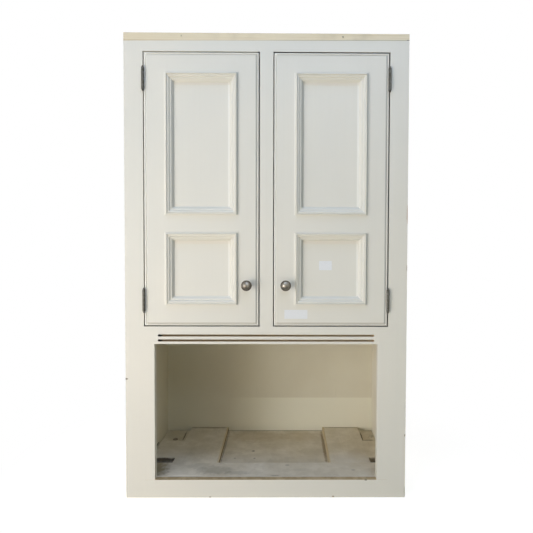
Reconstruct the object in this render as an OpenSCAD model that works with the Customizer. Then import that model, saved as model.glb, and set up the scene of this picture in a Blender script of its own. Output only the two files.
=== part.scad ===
// Painted kitchen wall cabinet: two moulded inset doors over an open appliance bay.
// Millimetres. X runs to the right, Y from the doors to the wall, Z up.
// The origin is the middle of the footprint, on the underside.

/* [Cabinet] */
// Width of the face frame
cabinet_w = 800; // [740:1:900]
// Height of the face frame, without the batten on top
frame_h = 1298.5; // [1220:0.5:1450]
// Depth from the face frame's front to the wall
cabinet_d = 405; // [370:1:450]
// Thickness of the side, top, divider and base panels
panel_t = 18; // [15:0.5:21]
// How far the face frame stands past each side panel
frame_overhang = 12; // [4:0.5:20]
// Depth of the housings in the side panels
housing_d = 6; // [4:0.5:9]

/* [Face frame] */
// Thickness of the face frame
frame_t = 22; // [20:0.5:28]
// Width of the outer stiles
stile_w = 53; // [45:0.5:60]
// Width of the mullion between the doors
mullion_w = 38; // [30:0.5:50]
// Height of the top rail
top_rail_h = 31; // [28:0.5:50]
// Height of the slotted rail between doors and bay
middle_rail_h = 50; // [48:0.5:70]
// Height of the rail under the bay
bottom_rail_h = 52; // [45:0.5:70]
// Height of the open bay
bay_h = 392; // [340:1:420]
// Width of the strip that narrows the bay at each side
infill_w = 29; // [15:0.5:40]
// Length of the tenons in the stiles
frame_tenon_l = 20; // [12:0.5:30]
// Length of the tenons on the mullion
mullion_tenon_l = 12; // [8:0.5:14]
// Thickness of all tenons of the face frame
frame_tenon_t = 8; // [6:0.5:10]
// Shoulder beside each tenon of the face frame
frame_shoulder = 7; // [5:0.5:9]

/* [Vent slots] */
// Length of a vent slot
vent_l = 616; // [500:1:620]
// Height of a vent slot
vent_h = 6; // [5:0.25:7]
// Height of the lower slot's centre above the bay
vent_rise = 10.1; // [9:0.1:13]
// Distance from one slot's centre to the next
vent_pitch = 14.3; // [12:0.1:16]
// Number of vent slots
vent_count = 2; // [1:1:2]

/* [Back] */
// Thickness of the back panel
back_t = 9; // [6:0.5:12]
// Thickness of the rails behind the back panel
back_rail_t = 18; // [15:0.5:22]
// Height of the rails behind the back panel
back_rail_h = 90; // [60:1:110]
// Diameter of the wall screw holes
wall_hole_d = 6; // [5:0.25:8]
// Distance between wall screw holes across the back
wall_hole_span = 500; // [400:1:600]

/* [Top batten] */
// Thickness of the batten that carries the cornice
batten_t = 20; // [16:0.5:30]
// Depth of the batten, front to back
batten_d = 45; // [35:1:70]
// Diameter of the pin holes that the cornice left
cornice_pin_d = 2.4; // [1.5:0.1:3.5]
// Depth of those pin holes
cornice_pin_l = 9; // [5:0.5:15]
// Place of the left pin hole across the batten
cornice_pin_left_x = -239; // [-350:1:-100]
// Place of the right pin hole across the batten
cornice_pin_right_x = 214; // [100:1:350]

/* [Shelves] */
// Thickness of the shelves
shelf_t = 18; // [15:0.5:22]
// Gap at each end of a shelf
shelf_play = 1; // [0.5:0.1:1.5]
// Distance from the face frame's back to a shelf's front edge
shelf_set = 30; // [22:1:60]
// Clear height under the lower shelf
lower_shelf_rise = 240; // [180:1:280]
// Clear height between the shelves
upper_shelf_rise = 230; // [180:1:280]
// Diameter of a shelf pin
shelf_pin_d = 5; // [4:0.25:6]
// Depth of a shelf pin's hole
shelf_hole_l = 10; // [8:0.5:12]
// Distance between holes in a row
shelf_hole_pitch = 32; // [20:1:40]
// Distance from a shelf's front and back edge to its pins
shelf_pin_inset = 45; // [30:1:80]

/* [Platform] */
// Thickness of the boards on the base
board_t = 12; // [9:0.5:15]
// Depth of the front board
front_board_d = 83; // [60:1:110]
// Width of the left cross board at the back
left_board_w = 132; // [100:1:180]
// How much wider the left cross board is at its front end
left_board_flare = 10; // [0:1:20]
// Width of the right cross board
right_board_w = 128; // [90:1:170]
// Distance from the left cross board's back end to the block's outer face
left_block_w = 85.5; // [60:0.5:100]
// Width of the block beside the right cross board
right_block_w = 48.5; // [40:0.5:80]
// Gap between each block and the side panel
block_play = 3; // [0.5:0.5:6]
// Slot between the front board and each block
block_slot = 34; // [20:1:50]
// Depth of the notch between each block and the back panel
notch_d = 116; // [95:1:140]

/* [Doors] */
// Thickness of the doors
door_t = 22; // [20:0.5:22]
// Gap round each door
door_gap = 2.5; // [2:0.1:4]
// Width of the door stiles
door_stile_w = 67.5; // [62:0.5:75]
// Height of the door's top rail
door_top_rail_h = 63.5; // [60:0.5:75]
// Height of the door's middle rail
door_middle_rail_h = 66; // [60:0.5:80]
// Height of the door's bottom rail
door_bottom_rail_h = 67.5; // [62:0.5:80]
// Height of the lower panel between the rails
lower_panel_h = 189; // [150:1:220]
// Radius of the bead round the door's front edge
edge_bead_r = 2.75; // [2:0.05:3.25]
// Width of the quirk beside that bead
edge_quirk_w = 1.3; // [1:0.1:2]
// How far the bead's crown stays under the door's face
edge_bead_set = 0.2; // [0.1:0.05:0.5]
// Length of the door rails' tenons
door_tenon_l = 40; // [25:1:50]
// Haunch above and below each tenon
door_haunch = 14; // [12:0.5:18]

/* [Door panels] */
// Thickness of the flat panels
door_panel_t = 6; // [5:0.25:7]
// Depth of the panel's face behind the door's face
door_panel_set = 10; // [9.5:0.1:12]
// Depth of the grooves that hold the panels
groove_d = 9; // [7:0.5:11]
// Room left for a panel to move in each groove
panel_play = 1; // [0.5:0.1:1.5]

/* [Panel moulding] */
// Width of the moulding
moulding_w = 23.4; // [22:0.1:28]
// How far the moulding's bead stands proud of the door's face
moulding_rise = 6.1; // [5.5:0.1:8]
// How far the moulding laps onto the stiles and rails
moulding_lap = 8; // [5:0.5:10]
// Width of the flat lip outside the bead
lip_w = 2.3; // [1.5:0.1:3]
// How far that lip stands proud of the door's face
lip_rise = 2.5; // [1.5:0.1:3]
// Radius of the bead
bead_r = 1.35; // [1:0.05:1.6]
// Width of the quirk inside the bead
quirk_w = 0.9; // [0.6:0.1:1.5]
// Height of the quirk's floor over the door's face
quirk_rise = 2.3; // [1.5:0.1:2.6]
// Width of the flat between quirk and ovolo
flat_w = 1.6; // [1:0.1:2.2]
// Height of that flat over the door's face
ovolo_rise = 2.8; // [2.3:0.1:3.4]
// Radius of the ovolo
ovolo_r = 4.9; // [4:0.1:5.7]
// Width of the fillet inside the ovolo
fillet_w = 4.2; // [3.4:0.1:5]
// Radius of the rounded slope that runs down to the panel
slope_r = 14; // [12:0.5:30]

/* [Hinges] */
// Height of a hinge's leaves
hinge_h = 60; // [50:1:76]
// Diameter of a hinge's knuckles
knuckle_d = 8; // [7:0.1:8.5]
// Number of knuckles on a hinge
knuckle_count = 5; // [3:2:5]
// Gap between neighbouring knuckles
knuckle_gap = 0.2; // [0.1:0.05:0.4]
// Thickness of the leaves
leaf_t = 2; // [1.5:0.1:2.5]
// Depth of the leaves behind the face
leaf_d = 18; // [15:0.5:20]
// Diameter of the hinge pin
hinge_pin_d = 3.5; // [3:0.1:4]
// Radial clearance between pin and knuckles
pin_clearance = 0.05; // [0.02:0.01:0.1]
// Height of the finial at each end of a pin
finial_h = 6; // [4:0.25:8]
// Distance from the door opening's top to the upper hinge's middle
upper_hinge_drop = 76; // [60:1:110]
// Distance from the door opening's foot to the lower hinge's middle
lower_hinge_rise = 75; // [60:1:110]
// Length of the hinge screws
hinge_screw_l = 16; // [12:0.5:20]
// Diameter of the hinge screws' shanks
hinge_screw_d = 3; // [2.5:0.1:3.5]
// Diameter of the hinge screws' heads
hinge_screw_head_d = 6; // [5.5:0.1:6.5]

/* [Knobs] */
// Diameter of a knob's head
knob_d = 30; // [26:0.5:34]
// How far a knob stands out from the door
knob_reach = 30; // [26:0.5:34]
// Diameter of the rose against the door
knob_rose_d = 17; // [14:0.5:20]
// Diameter of the neck at its waist
knob_neck_d = 10; // [9:0.25:12]
// Distance from the cabinet's middle to each knob
knob_x = 55; // [48:0.5:60]
// Height of the knobs above the door opening's foot
knob_rise = 119; // [100:1:150]
// Diameter of the screw that holds a knob
knob_screw_d = 4; // [3.5:0.1:5]
// Diameter of that screw's head
knob_screw_head_d = 9; // [8:0.5:11]

/* [Catches] */
// Width of a magnetic catch
catch_w = 44; // [36:1:46]
// Depth of a magnetic catch
catch_d = 14; // [10:0.5:18]
// Height of a magnetic catch
catch_h = 16; // [12:0.5:20]
// Thickness of the strike plate on each door
strike_t = 1.2; // [0.8:0.1:2]
// Air between strike plate and catch
strike_gap = 0.3; // [0.2:0.05:0.6]

/* [Base screws] */
// Diameter of the cup washers on the base
cup_d = 18; // [12:0.5:20]
// Height of the cup washers
cup_h = 2.5; // [1:0.1:3]
// Diameter of the base screws' shanks
base_screw_d = 4; // [3.5:0.1:5]
// Length of the base screws under the head
base_screw_l = 30; // [24:1:40]
// Distance from the left side panel to the left base screw
left_screw_inset = 44; // [15:0.5:70]
// Distance from the right side panel to the right base screw
right_screw_inset = 11; // [11:0.5:35]
// Distance from the back panel to the left base screw
left_screw_from_back = 77; // [30:1:90]
// Distance from the back panel to the right base screw
right_screw_from_back = 53; // [30:1:90]

/* [Hidden] */

// Facets on round surfaces
$fn = 48;

// Colours of the finishes
paint = [0.87, 0.86, 0.80];
inner_paint = [0.72, 0.69, 0.59];
raw_pine = [0.87, 0.83, 0.72];
board_wood = [0.60, 0.56, 0.47];
dark_steel = [0.35, 0.34, 0.31];
pewter = [0.55, 0.53, 0.50];
catch_brown = [0.45, 0.33, 0.22];

// Cutters reach this far past the faces that they open
over = 1;
// Clearance round screws and shelf pins in their holes
fit = 0.05;
// Half the width of the wedges that cut the mitres, more than half the height of any door
mitre_reach = 1024;

// Levels from front to back
face_y = -(cabinet_d - knob_reach) / 2;
frame_back_y = face_y + frame_t;
wall_y = face_y + cabinet_d;
back_panel_rear_y = wall_y - back_rail_t;
back_panel_y = back_panel_rear_y - back_t;
door_back_y = face_y + door_t;

// Levels across, for the left half
frame_edge_x = cabinet_w / 2;
side_out_x = frame_edge_x - frame_overhang;
side_in_x = side_out_x - panel_t;
housing_x = side_in_x + housing_d;
opening_x = frame_edge_x - stile_w;
bay_x = opening_x - infill_w;

// Levels upwards
bay_z = bottom_rail_h;
bay_top_z = bay_z + bay_h;
opening_z = bay_top_z + middle_rail_h;
opening_top_z = frame_h - top_rail_h;
base_top_z = bay_z - board_t;
divider_z = opening_z - panel_t;
top_panel_z = frame_h - panel_t;
lower_shelf_z = opening_z + lower_shelf_rise;
upper_shelf_z = lower_shelf_z + shelf_t + upper_shelf_rise;

// Shelves
shelf_y = frame_back_y + shelf_set;
shelf_back_y = back_panel_y - shelf_play;
shelf_pin_ys = [shelf_y + shelf_pin_inset, shelf_back_y - shelf_pin_inset];
shelf_zs = [lower_shelf_z, upper_shelf_z];
shelf_tongue_l = 9;
shelf_tongue_w = 9;
shelf_tongue_t = 1.5;
shelf_pin_end_play = 1;

// Tenons of the face frame
frame_tenon_y = [face_y + (frame_t - frame_tenon_t) / 2, face_y + (frame_t + frame_tenon_t) / 2];
mortise_end_play = 1;

// Vent slots
vent_zs = [for (i = [0 : vent_count - 1]) bay_top_z + vent_rise + i * vent_pitch];

// Rails behind the back panel and their screw holes
hanging_rail_z = top_panel_z - back_rail_h;
middle_back_rail_z = opening_z;
lower_back_rail_z = base_top_z - panel_t;
wall_hole_zs = [middle_back_rail_z + back_rail_h / 2, hanging_rail_z + back_rail_h / 2];
wall_hole_xs = [-wall_hole_span / 2, wall_hole_span / 2];

// Screws through the batten
batten_screw_xs = [-cabinet_w * 0.4, 0, cabinet_w * 0.4];
batten_screw_y = face_y + (frame_t + batten_d) / 2;
batten_screw_d = 4;
batten_screw_head_d = 8;
batten_screw_l = batten_t + panel_t * 0.8;

// Platform boards
platform_z = [base_top_z, bay_z];
front_board_y = [frame_back_y, frame_back_y + front_board_d];
cross_board_y = [front_board_y[1], back_panel_y];
block_y = [front_board_y[1] + block_slot, back_panel_y - notch_d];
left_block_x = -side_in_x + block_play;
left_board_x = [left_block_x + left_block_w, left_block_x + left_block_w + left_board_w];
left_board_slope = left_board_flare / (cross_board_y[1] - cross_board_y[0]);
right_block_x = [side_in_x - block_play - right_block_w, side_in_x - block_play];
right_board_x = [right_block_x[0] - right_board_w, right_block_x[0]];

// Base screws, the left one first
base_screw_places = [[-side_in_x + left_screw_inset, back_panel_y - left_screw_from_back],
                     [side_in_x - right_screw_inset, back_panel_y - right_screw_from_back]];

// Left door; the right one is its mirror image
door_x = [-opening_x + door_gap, -mullion_w / 2 - door_gap];
door_z = [opening_z + door_gap, opening_top_z - door_gap];
daylight_x = [door_x[0] + door_stile_w, door_x[1] - door_stile_w];
lower_daylight_z = [door_z[0] + door_bottom_rail_h, door_z[0] + door_bottom_rail_h + lower_panel_h];
upper_daylight_z = [lower_daylight_z[1] + door_middle_rail_h, door_z[1] - door_top_rail_h];
door_panel_y = [face_y + door_panel_set, face_y + door_panel_set + door_panel_t];
panel_grip = groove_d - panel_play;

// Hinges
knuckle_r = knuckle_d / 2;
hinge_x = -opening_x + door_gap / 2;
hinge_y = face_y - knuckle_r;
hinge_zs = [opening_z + lower_hinge_rise, opening_top_z - upper_hinge_drop];
knuckle_h = hinge_h / knuckle_count;
leaf_notch = 0.3;
hinge_bore_r = hinge_pin_d / 2 + pin_clearance;
hinge_screw_zs = [-hinge_h / 3, 0, hinge_h / 3];
hinge_screw_y = face_y + leaf_d / 2;
hinge_screw_ys = [for (side = [1, -1, 1]) hinge_screw_y + side * leaf_d / 6];

// Knobs
knob_z = opening_z + knob_rise;
knob_screw_bite = 12;

// Catches
catch_x = [-knob_x - catch_w / 2, -knob_x + catch_w / 2];
strike_y = [door_back_y, door_back_y + strike_t];
catch_y = [strike_y[1] + strike_gap, strike_y[1] + strike_gap + catch_d];
strike_z = [door_z[0] + over, opening_z + catch_h];
catch_pole_t = 1.6;
catch_pole_proud = strike_gap / 2;

// Box between two levels on each axis
module span(x, y, z) {
    translate([x[0], y[0], z[0]])
        cube([x[1] - x[0], y[1] - y[0], z[1] - z[0]]);
}

// Round bar between two levels along X
module bar_x(d, x, y, z) {
    translate([x[0], y, z])
        rotate([0, 90, 0])
            cylinder(d = d, h = x[1] - x[0]);
}

// Round bar between two levels along Y
module bar_y(d, x, y, z) {
    translate([x, y[0], z])
        rotate([-90, 0, 0])
            cylinder(d = d, h = y[1] - y[0]);
}

// Shows the left-hand shape as its mirror image on the right
module on_right() {
    mirror([1, 0, 0])
        children();
}

// Places the children on both sides of the cabinet
module on_both() {
    children();
    on_right()
        children();
}

// Countersunk wood screw, its head's top at z = 0 and its shank pointing down
module wood_screw(d, head_d, l) {
    head_h = (head_d - d) / 2;
    slot_w = head_d * 0.15;
    point_h = d;
    difference() {
        union() {
            translate([0, 0, -head_h])
                cylinder(d1 = d, d2 = head_d, h = head_h);
            translate([0, 0, -l + point_h])
                cylinder(d = d, h = l - point_h - head_h);
            translate([0, 0, -l])
                cylinder(d1 = d * 0.2, d2 = d, h = point_h);
        }
        translate([-head_d, -slot_w / 2, -head_h * 0.4])
            cube([head_d * 2, slot_w, head_h]);
    }
}

// Hole that the screw above fills, a little wider than its shank
module screw_hole(d, head_d, l) {
    head_h = (head_d - d) / 2;
    translate([0, 0, -l - over])
        cylinder(d = d + 2 * fit, h = l + over);
    translate([0, 0, -head_h])
        cylinder(d1 = d + 2 * fit, d2 = head_d + 2 * fit, h = head_h);
    cylinder(d = head_d + 2 * fit, h = over);
}

// Everything above the plane that rises at 45 degrees from the origin towards +X
module above_mitre() {
    translate([0, mitre_reach / 2, 0])
        rotate([90, 0, 0])
            linear_extrude(height = mitre_reach)
                polygon([[-mitre_reach, -mitre_reach], [mitre_reach, mitre_reach],
                         [-mitre_reach, 3 * mitre_reach]]);
}

// A profile carried up from the origin along one side of a frame, mitred at both ends.
// The profile's x runs from the frame's edge inwards, its y from the face backwards.
module mitred_length(l, lead) {
    intersection() {
        translate([0, 0, -lead])
            linear_extrude(height = l + 2 * lead)
                children();
        above_mitre();
        translate([0, 0, l])
            mirror([0, 0, 1])
                above_mitre();
    }
}

// Four mitred lengths of a profile round a rectangle in the doors' plane.
// A cutter's profile starts outside the rectangle's edge, by the lead.
module mitred_frame(x, z, lead = 0) {
    corners = [[x[0], z[0]], [x[0], z[1]], [x[1], z[1]], [x[1], z[0]]];
    lengths = [z[1] - z[0], x[1] - x[0]];
    for (turn = [0 : 3])
        translate([corners[turn][0], face_y, corners[turn][1]])
            rotate([0, turn * 90, 0])
                mitred_length(lengths[turn % 2], lead)
                    children();
}

// Carcass

// Tongue in the left stile's mortise, and with play the mortise itself
module frame_tenon(z, rail_h, play = 0) {
    span([-opening_x - frame_tenon_l - play, -opening_x], frame_tenon_y,
         [z + frame_shoulder, z + rail_h - frame_shoulder]);
}

module side_panel() {
    difference() {
        span([-side_out_x, -side_in_x], [frame_back_y, wall_y], [0, frame_h]);
        for (z = [lower_back_rail_z, divider_z])
            span([-housing_x, -side_in_x + over], [frame_back_y - over, back_panel_y], [z, z + panel_t]);
        span([-housing_x, -side_in_x + over], [frame_back_y - over, back_panel_y],
             [top_panel_z, frame_h + over]);
        span([-housing_x, -side_in_x + over], [back_panel_y, back_panel_rear_y],
             [lower_back_rail_z, frame_h + over]);
        for (shelf_z = shelf_zs, step = [-1 : 1], y = shelf_pin_ys)
            bar_x(shelf_pin_d + 2 * fit, [-side_in_x - shelf_hole_l, -side_in_x + over], y,
                  shelf_z - shelf_pin_d / 2 + step * shelf_hole_pitch);
    }
}

module left_side_panel() {
    color(inner_paint)
        side_panel();
}

module right_side_panel() {
    color(inner_paint)
        on_right()
            side_panel();
}

// Panel that sits in the housings of both sides
module housed_panel(z) {
    span([-housing_x, housing_x], [frame_back_y, back_panel_y], [z, z + panel_t]);
}

module top_panel() {
    color(inner_paint)
        difference() {
            housed_panel(top_panel_z);
            for (x = batten_screw_xs)
                translate([x, batten_screw_y, frame_h + batten_t])
                    screw_hole(batten_screw_d, batten_screw_head_d, batten_screw_l);
        }
}

module bay_divider() {
    color(inner_paint)
        housed_panel(divider_z);
}

module base_panel() {
    color(board_wood)
        difference() {
            housed_panel(lower_back_rail_z);
            for (place = base_screw_places)
                translate([place[0], place[1], base_top_z - over])
                    cylinder(d = base_screw_d + 2 * fit, h = 2 * panel_t + 2 * over, center = true);
        }
}

module wall_holes(y) {
    for (x = wall_hole_xs, z = wall_hole_zs)
        bar_y(wall_hole_d, x, [y[0] - over, y[1] + over], z);
}

module back_panel() {
    y = [back_panel_y, back_panel_rear_y];
    color(inner_paint)
        difference() {
            span([-housing_x, housing_x], y, [lower_back_rail_z, frame_h]);
            wall_holes(y);
        }
}

// Rail in the space between back panel and wall
module back_rail(z) {
    y = [back_panel_rear_y, wall_y];
    color(raw_pine)
        difference() {
            span([-side_in_x, side_in_x], y, [z, z + back_rail_h]);
            wall_holes(y);
        }
}

module hanging_rail() {
    back_rail(hanging_rail_z);
}

module middle_back_rail() {
    back_rail(middle_back_rail_z);
}

module lower_back_rail() {
    back_rail(lower_back_rail_z);
}

// Face frame

module frame_stile() {
    difference() {
        span([-frame_edge_x, -opening_x], [face_y, frame_back_y], [0, frame_h]);
        frame_tenon(0, bottom_rail_h, mortise_end_play);
        frame_tenon(bay_top_z, middle_rail_h, mortise_end_play);
        frame_tenon(opening_top_z, top_rail_h, mortise_end_play);
        for (z = hinge_zs)
            translate([0, 0, z]) {
                leaf_recess([-opening_x - leaf_t, -opening_x + over]);
                frame_leaf_screw_places()
                    screw_hole(hinge_screw_d, hinge_screw_head_d, hinge_screw_l);
            }
    }
}

module left_frame_stile() {
    color(paint)
        frame_stile();
}

module right_frame_stile() {
    color(paint)
        on_right()
            frame_stile();
}

// Rail between the outer stiles, with a tenon at each end
module frame_rail(z, h) {
    span([-opening_x, opening_x], [face_y, frame_back_y], [z, z + h]);
    on_both()
        frame_tenon(z, h);
}

// Tongue at an end of the mullion, and with play its mortise
module mullion_tenon(z) {
    span([-mullion_w / 2 + frame_shoulder, mullion_w / 2 - frame_shoulder], frame_tenon_y, z);
}

module frame_mullion() {
    color(paint) {
        span([-mullion_w / 2, mullion_w / 2], [face_y, frame_back_y], [opening_z, opening_top_z]);
        mullion_tenon([opening_z - mullion_tenon_l, opening_z]);
        mullion_tenon([opening_top_z, opening_top_z + mullion_tenon_l]);
    }
}

module frame_top_rail() {
    color(paint)
        difference() {
            frame_rail(opening_top_z, top_rail_h);
            mullion_tenon([opening_top_z - over, opening_top_z + mullion_tenon_l + mortise_end_play]);
        }
}

// Slot with round ends through the middle rail
module vent_slot(z) {
    y = [face_y - over, frame_back_y + over];
    straight = vent_l - vent_h;
    span([-straight / 2, straight / 2], y, [z - vent_h / 2, z + vent_h / 2]);
    for (x = [-straight / 2, straight / 2])
        bar_y(vent_h, x, y, z);
}

module frame_middle_rail() {
    color(paint)
        difference() {
            frame_rail(bay_top_z, middle_rail_h);
            mullion_tenon([opening_z - mullion_tenon_l - mortise_end_play, opening_z + over]);
            for (z = vent_zs)
                vent_slot(z);
        }
}

module frame_bottom_rail() {
    color(paint)
        frame_rail(0, bottom_rail_h);
}

module bay_infill() {
    color(paint)
        span([-opening_x, -bay_x], [face_y, frame_back_y], [bay_z, bay_top_z]);
}

module left_bay_infill() {
    bay_infill();
}

module right_bay_infill() {
    on_right()
        bay_infill();
}

// Top batten

module cornice_batten() {
    z = [frame_h, frame_h + batten_t];
    color(raw_pine)
        difference() {
            span([-frame_edge_x, frame_edge_x], [face_y, face_y + batten_d], z);
            for (x = [cornice_pin_left_x, cornice_pin_right_x])
                bar_y(cornice_pin_d, x, [face_y - over, face_y + cornice_pin_l], (z[0] + z[1]) / 2);
            for (x = batten_screw_xs)
                translate([x, batten_screw_y, z[1]])
                    screw_hole(batten_screw_d, batten_screw_head_d, batten_screw_l);
        }
}

module batten_screws() {
    color(dark_steel)
        for (x = batten_screw_xs)
            translate([x, batten_screw_y, frame_h + batten_t])
                wood_screw(batten_screw_d, batten_screw_head_d, batten_screw_l);
}

// Shelves

module shelf(z) {
    x = side_in_x - shelf_play;
    color(inner_paint)
        span([-x, x], [shelf_y, shelf_back_y], [z, z + shelf_t]);
}

module upper_shelf() {
    shelf(upper_shelf_z);
}

module lower_shelf() {
    shelf(lower_shelf_z);
}

// Peg in the side panel with a flat tongue under the shelf
module shelf_pin(y, z) {
    x = [-side_in_x - shelf_hole_l + shelf_pin_end_play, -side_in_x + shelf_tongue_l];
    bar_x(shelf_pin_d, x, y, z - shelf_pin_d / 2);
    span([-side_in_x, x[1]], [y - shelf_tongue_w / 2, y + shelf_tongue_w / 2], [z - shelf_tongue_t, z]);
}

module shelf_pins() {
    color(dark_steel)
        on_both()
            for (y = shelf_pin_ys, z = shelf_zs)
                shelf_pin(y, z);
}

// Platform in the bay

module platform_board(x, y) {
    color(board_wood)
        span(x, y, platform_z);
}

module platform_front_board() {
    platform_board([-side_in_x, side_in_x], front_board_y);
}

// Place across of the left cross board's outer edge, which runs outwards to the front
function left_board_edge(y) = left_board_x[0] - left_board_slope * (cross_board_y[1] - y);

// Board between two levels, with one straight side and one that follows that edge
module board_beside_edge(straight_x, y) {
    color(board_wood)
        translate([0, 0, base_top_z])
            linear_extrude(height = board_t)
                polygon([[straight_x, y[0]], [left_board_edge(y[0]), y[0]],
                         [left_board_edge(y[1]), y[1]], [straight_x, y[1]]]);
}

module platform_left_board() {
    board_beside_edge(left_board_x[1], cross_board_y);
}

module platform_right_board() {
    platform_board(right_board_x, cross_board_y);
}

module platform_left_block() {
    board_beside_edge(left_block_x, block_y);
}

module platform_right_block() {
    platform_board(right_block_x, block_y);
}

// Screw with a cup washer under its round head
module base_screws() {
    head_r = cup_d * 0.3;
    color(dark_steel)
        for (place = base_screw_places)
            translate([place[0], place[1], base_top_z]) {
                cylinder(d1 = cup_d, d2 = cup_d * 0.8, h = cup_h);
                translate([0, 0, cup_h])
                    intersection() {
                        translate([0, 0, -head_r / 2])
                            sphere(r = head_r);
                        cylinder(r = head_r, h = head_r);
                    }
                translate([0, 0, -base_screw_l])
                    cylinder(d = base_screw_d, h = base_screw_l);
            }
}

// Hinges

// Recess for a leaf, flush with the wood round it
module leaf_recess(x) {
    span(x, [face_y - over, face_y + leaf_d], [-hinge_h / 2, hinge_h / 2]);
}

// One leaf with its share of the knuckles: the first, third and fifth, or those between.
// Its plate spans x, and the knuckles turn about the hinge's own axis.
module hinge_leaf(x, first) {
    difference() {
        union() {
            span(x, [face_y + leaf_notch, face_y + leaf_d], [-hinge_h / 2, hinge_h / 2]);
            for (i = [first : 2 : knuckle_count - 1]) {
                foot = -hinge_h / 2 + i * knuckle_h + (i > 0 ? knuckle_gap / 2 : 0);
                head = -hinge_h / 2 + (i + 1) * knuckle_h - (i < knuckle_count - 1 ? knuckle_gap / 2 : 0);
                translate([hinge_x, hinge_y, foot])
                    cylinder(r = knuckle_r, h = head - foot);
                span(x, [hinge_y, face_y + leaf_d / 2], [foot, head]);
            }
        }
        translate([hinge_x, hinge_y, -hinge_h])
            cylinder(r = hinge_bore_r, h = 2 * hinge_h);
        for (i = [0 : knuckle_count - 1])
            if ((i + first) % 2 == 1)
                translate([hinge_x, hinge_y, -hinge_h / 2 + i * knuckle_h - knuckle_gap / 2])
                    cylinder(r = knuckle_r + leaf_notch, h = knuckle_h + knuckle_gap);
    }
}

// Places of the screws in the frame's leaf, their heads towards the opening
module frame_leaf_screw_places() {
    for (i = [0 : len(hinge_screw_zs) - 1])
        translate([-opening_x, hinge_screw_ys[i], hinge_screw_zs[i]])
            rotate([0, 90, 0])
                children();
}

// Places of the screws in the door's leaf, their heads towards the frame
module door_leaf_screw_places() {
    for (i = [0 : len(hinge_screw_zs) - 1])
        translate([door_x[0], hinge_screw_ys[i], hinge_screw_zs[i]])
            rotate([0, -90, 0])
                children();
}

module frame_hinge_leaves() {
    color(dark_steel)
        on_both()
            for (z = hinge_zs)
                translate([0, 0, z])
                    difference() {
                        hinge_leaf([-opening_x - leaf_t, -opening_x], 0);
                        frame_leaf_screw_places()
                            screw_hole(hinge_screw_d, hinge_screw_head_d, hinge_screw_l);
                    }
}

module frame_hinge_screws() {
    color(dark_steel)
        on_both()
            for (z = hinge_zs)
                translate([0, 0, z])
                    frame_leaf_screw_places()
                        wood_screw(hinge_screw_d, hinge_screw_head_d, hinge_screw_l);
}

// Finial in outline: a collar, a cove and an acorn tip
module finial_outline() {
    collar_h = finial_h * 0.2;
    tip_r = knuckle_r * 0.55;
    square([knuckle_r, collar_h]);
    square([tip_r * 0.8, finial_h - tip_r]);
    intersection() {
        translate([0, finial_h - tip_r])
            circle(r = tip_r);
        square([tip_r, finial_h]);
    }
}

module hinge_pin() {
    cylinder(d = hinge_pin_d, h = hinge_h, center = true);
    for (turn = [0, 180])
        rotate([turn, 0, 0])
            translate([0, 0, hinge_h / 2])
                rotate_extrude()
                    finial_outline();
}

module hinge_pins() {
    color(dark_steel)
        on_both()
            for (z = hinge_zs)
                translate([hinge_x, hinge_y, z])
                    hinge_pin();
}

// Magnetic catch: a case between two steel poles that stand proud of it
module door_catches() {
    z = [opening_z, opening_z + catch_h];
    pole_x = catch_w / 4;
    color(catch_brown)
        on_both() {
            difference() {
                span(catch_x, catch_y, z);
                for (side = [-1, 1])
                    bar_y(base_screw_d, -knob_x + side * catch_w * 0.4,
                          [catch_y[0] - over, catch_y[0] + catch_pole_t], z[0] + catch_h / 2);
            }
            for (side = [-1, 1])
                translate([-knob_x + side * pole_x, 0, 0])
                    span([-catch_pole_t / 2, catch_pole_t / 2], [catch_y[0] - catch_pole_proud, catch_y[0]],
                         [z[0] + catch_pole_t, z[1] - catch_pole_t]);
        }
}

// Doors, drawn for the left one

// Bead and quirk run round the door's front edge
module door_edge_cutter() {
    inner = 2 * edge_bead_r + edge_quirk_w;
    depth = edge_bead_set + edge_bead_r;
    mitred_frame(door_x, door_z, over)
        difference() {
            translate([-over, -over])
                square([inner + over, depth + over]);
            translate([edge_bead_r, depth])
                circle(r = edge_bead_r);
        }
}

// Groove for the panels, run the stile's whole length
module stile_groove(edge_x, depth) {
    span([min(edge_x, edge_x + depth), max(edge_x, edge_x + depth)], door_panel_y,
         [door_z[0] - over, door_z[1] + over]);
}

// Haunched tenons of one rail; play lengthens the mortise that takes them
module rail_tenons(z, play = 0) {
    l = door_tenon_l + play;
    span([daylight_x[0] - l, daylight_x[1] + l], door_panel_y, [z[0] + door_haunch, z[1] - door_haunch]);
}

module door_rail_zs(play) {
    rail_tenons([door_z[0], lower_daylight_z[0]], play);
    rail_tenons([lower_daylight_z[1], upper_daylight_z[0]], play);
    rail_tenons([upper_daylight_z[1], door_z[1]], play);
}

module door_hinge_stile() {
    color(paint)
        difference() {
            span([door_x[0], daylight_x[0]], [face_y, door_back_y], door_z);
            stile_groove(daylight_x[0], -groove_d);
            door_rail_zs(mortise_end_play);
            door_edge_cutter();
            for (z = hinge_zs)
                translate([0, 0, z]) {
                    leaf_recess([door_x[0] - over, door_x[0] + leaf_t]);
                    door_leaf_screw_places()
                        screw_hole(hinge_screw_d, hinge_screw_head_d, hinge_screw_l);
                }
        }
}

module door_lock_stile() {
    color(paint)
        difference() {
            span([daylight_x[1], door_x[1]], [face_y, door_back_y], door_z);
            stile_groove(daylight_x[1], groove_d);
            door_rail_zs(mortise_end_play);
            door_edge_cutter();
            bar_y(knob_screw_d + 2 * fit, -knob_x, [face_y - over, door_back_y + over], knob_z);
        }
}

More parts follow.
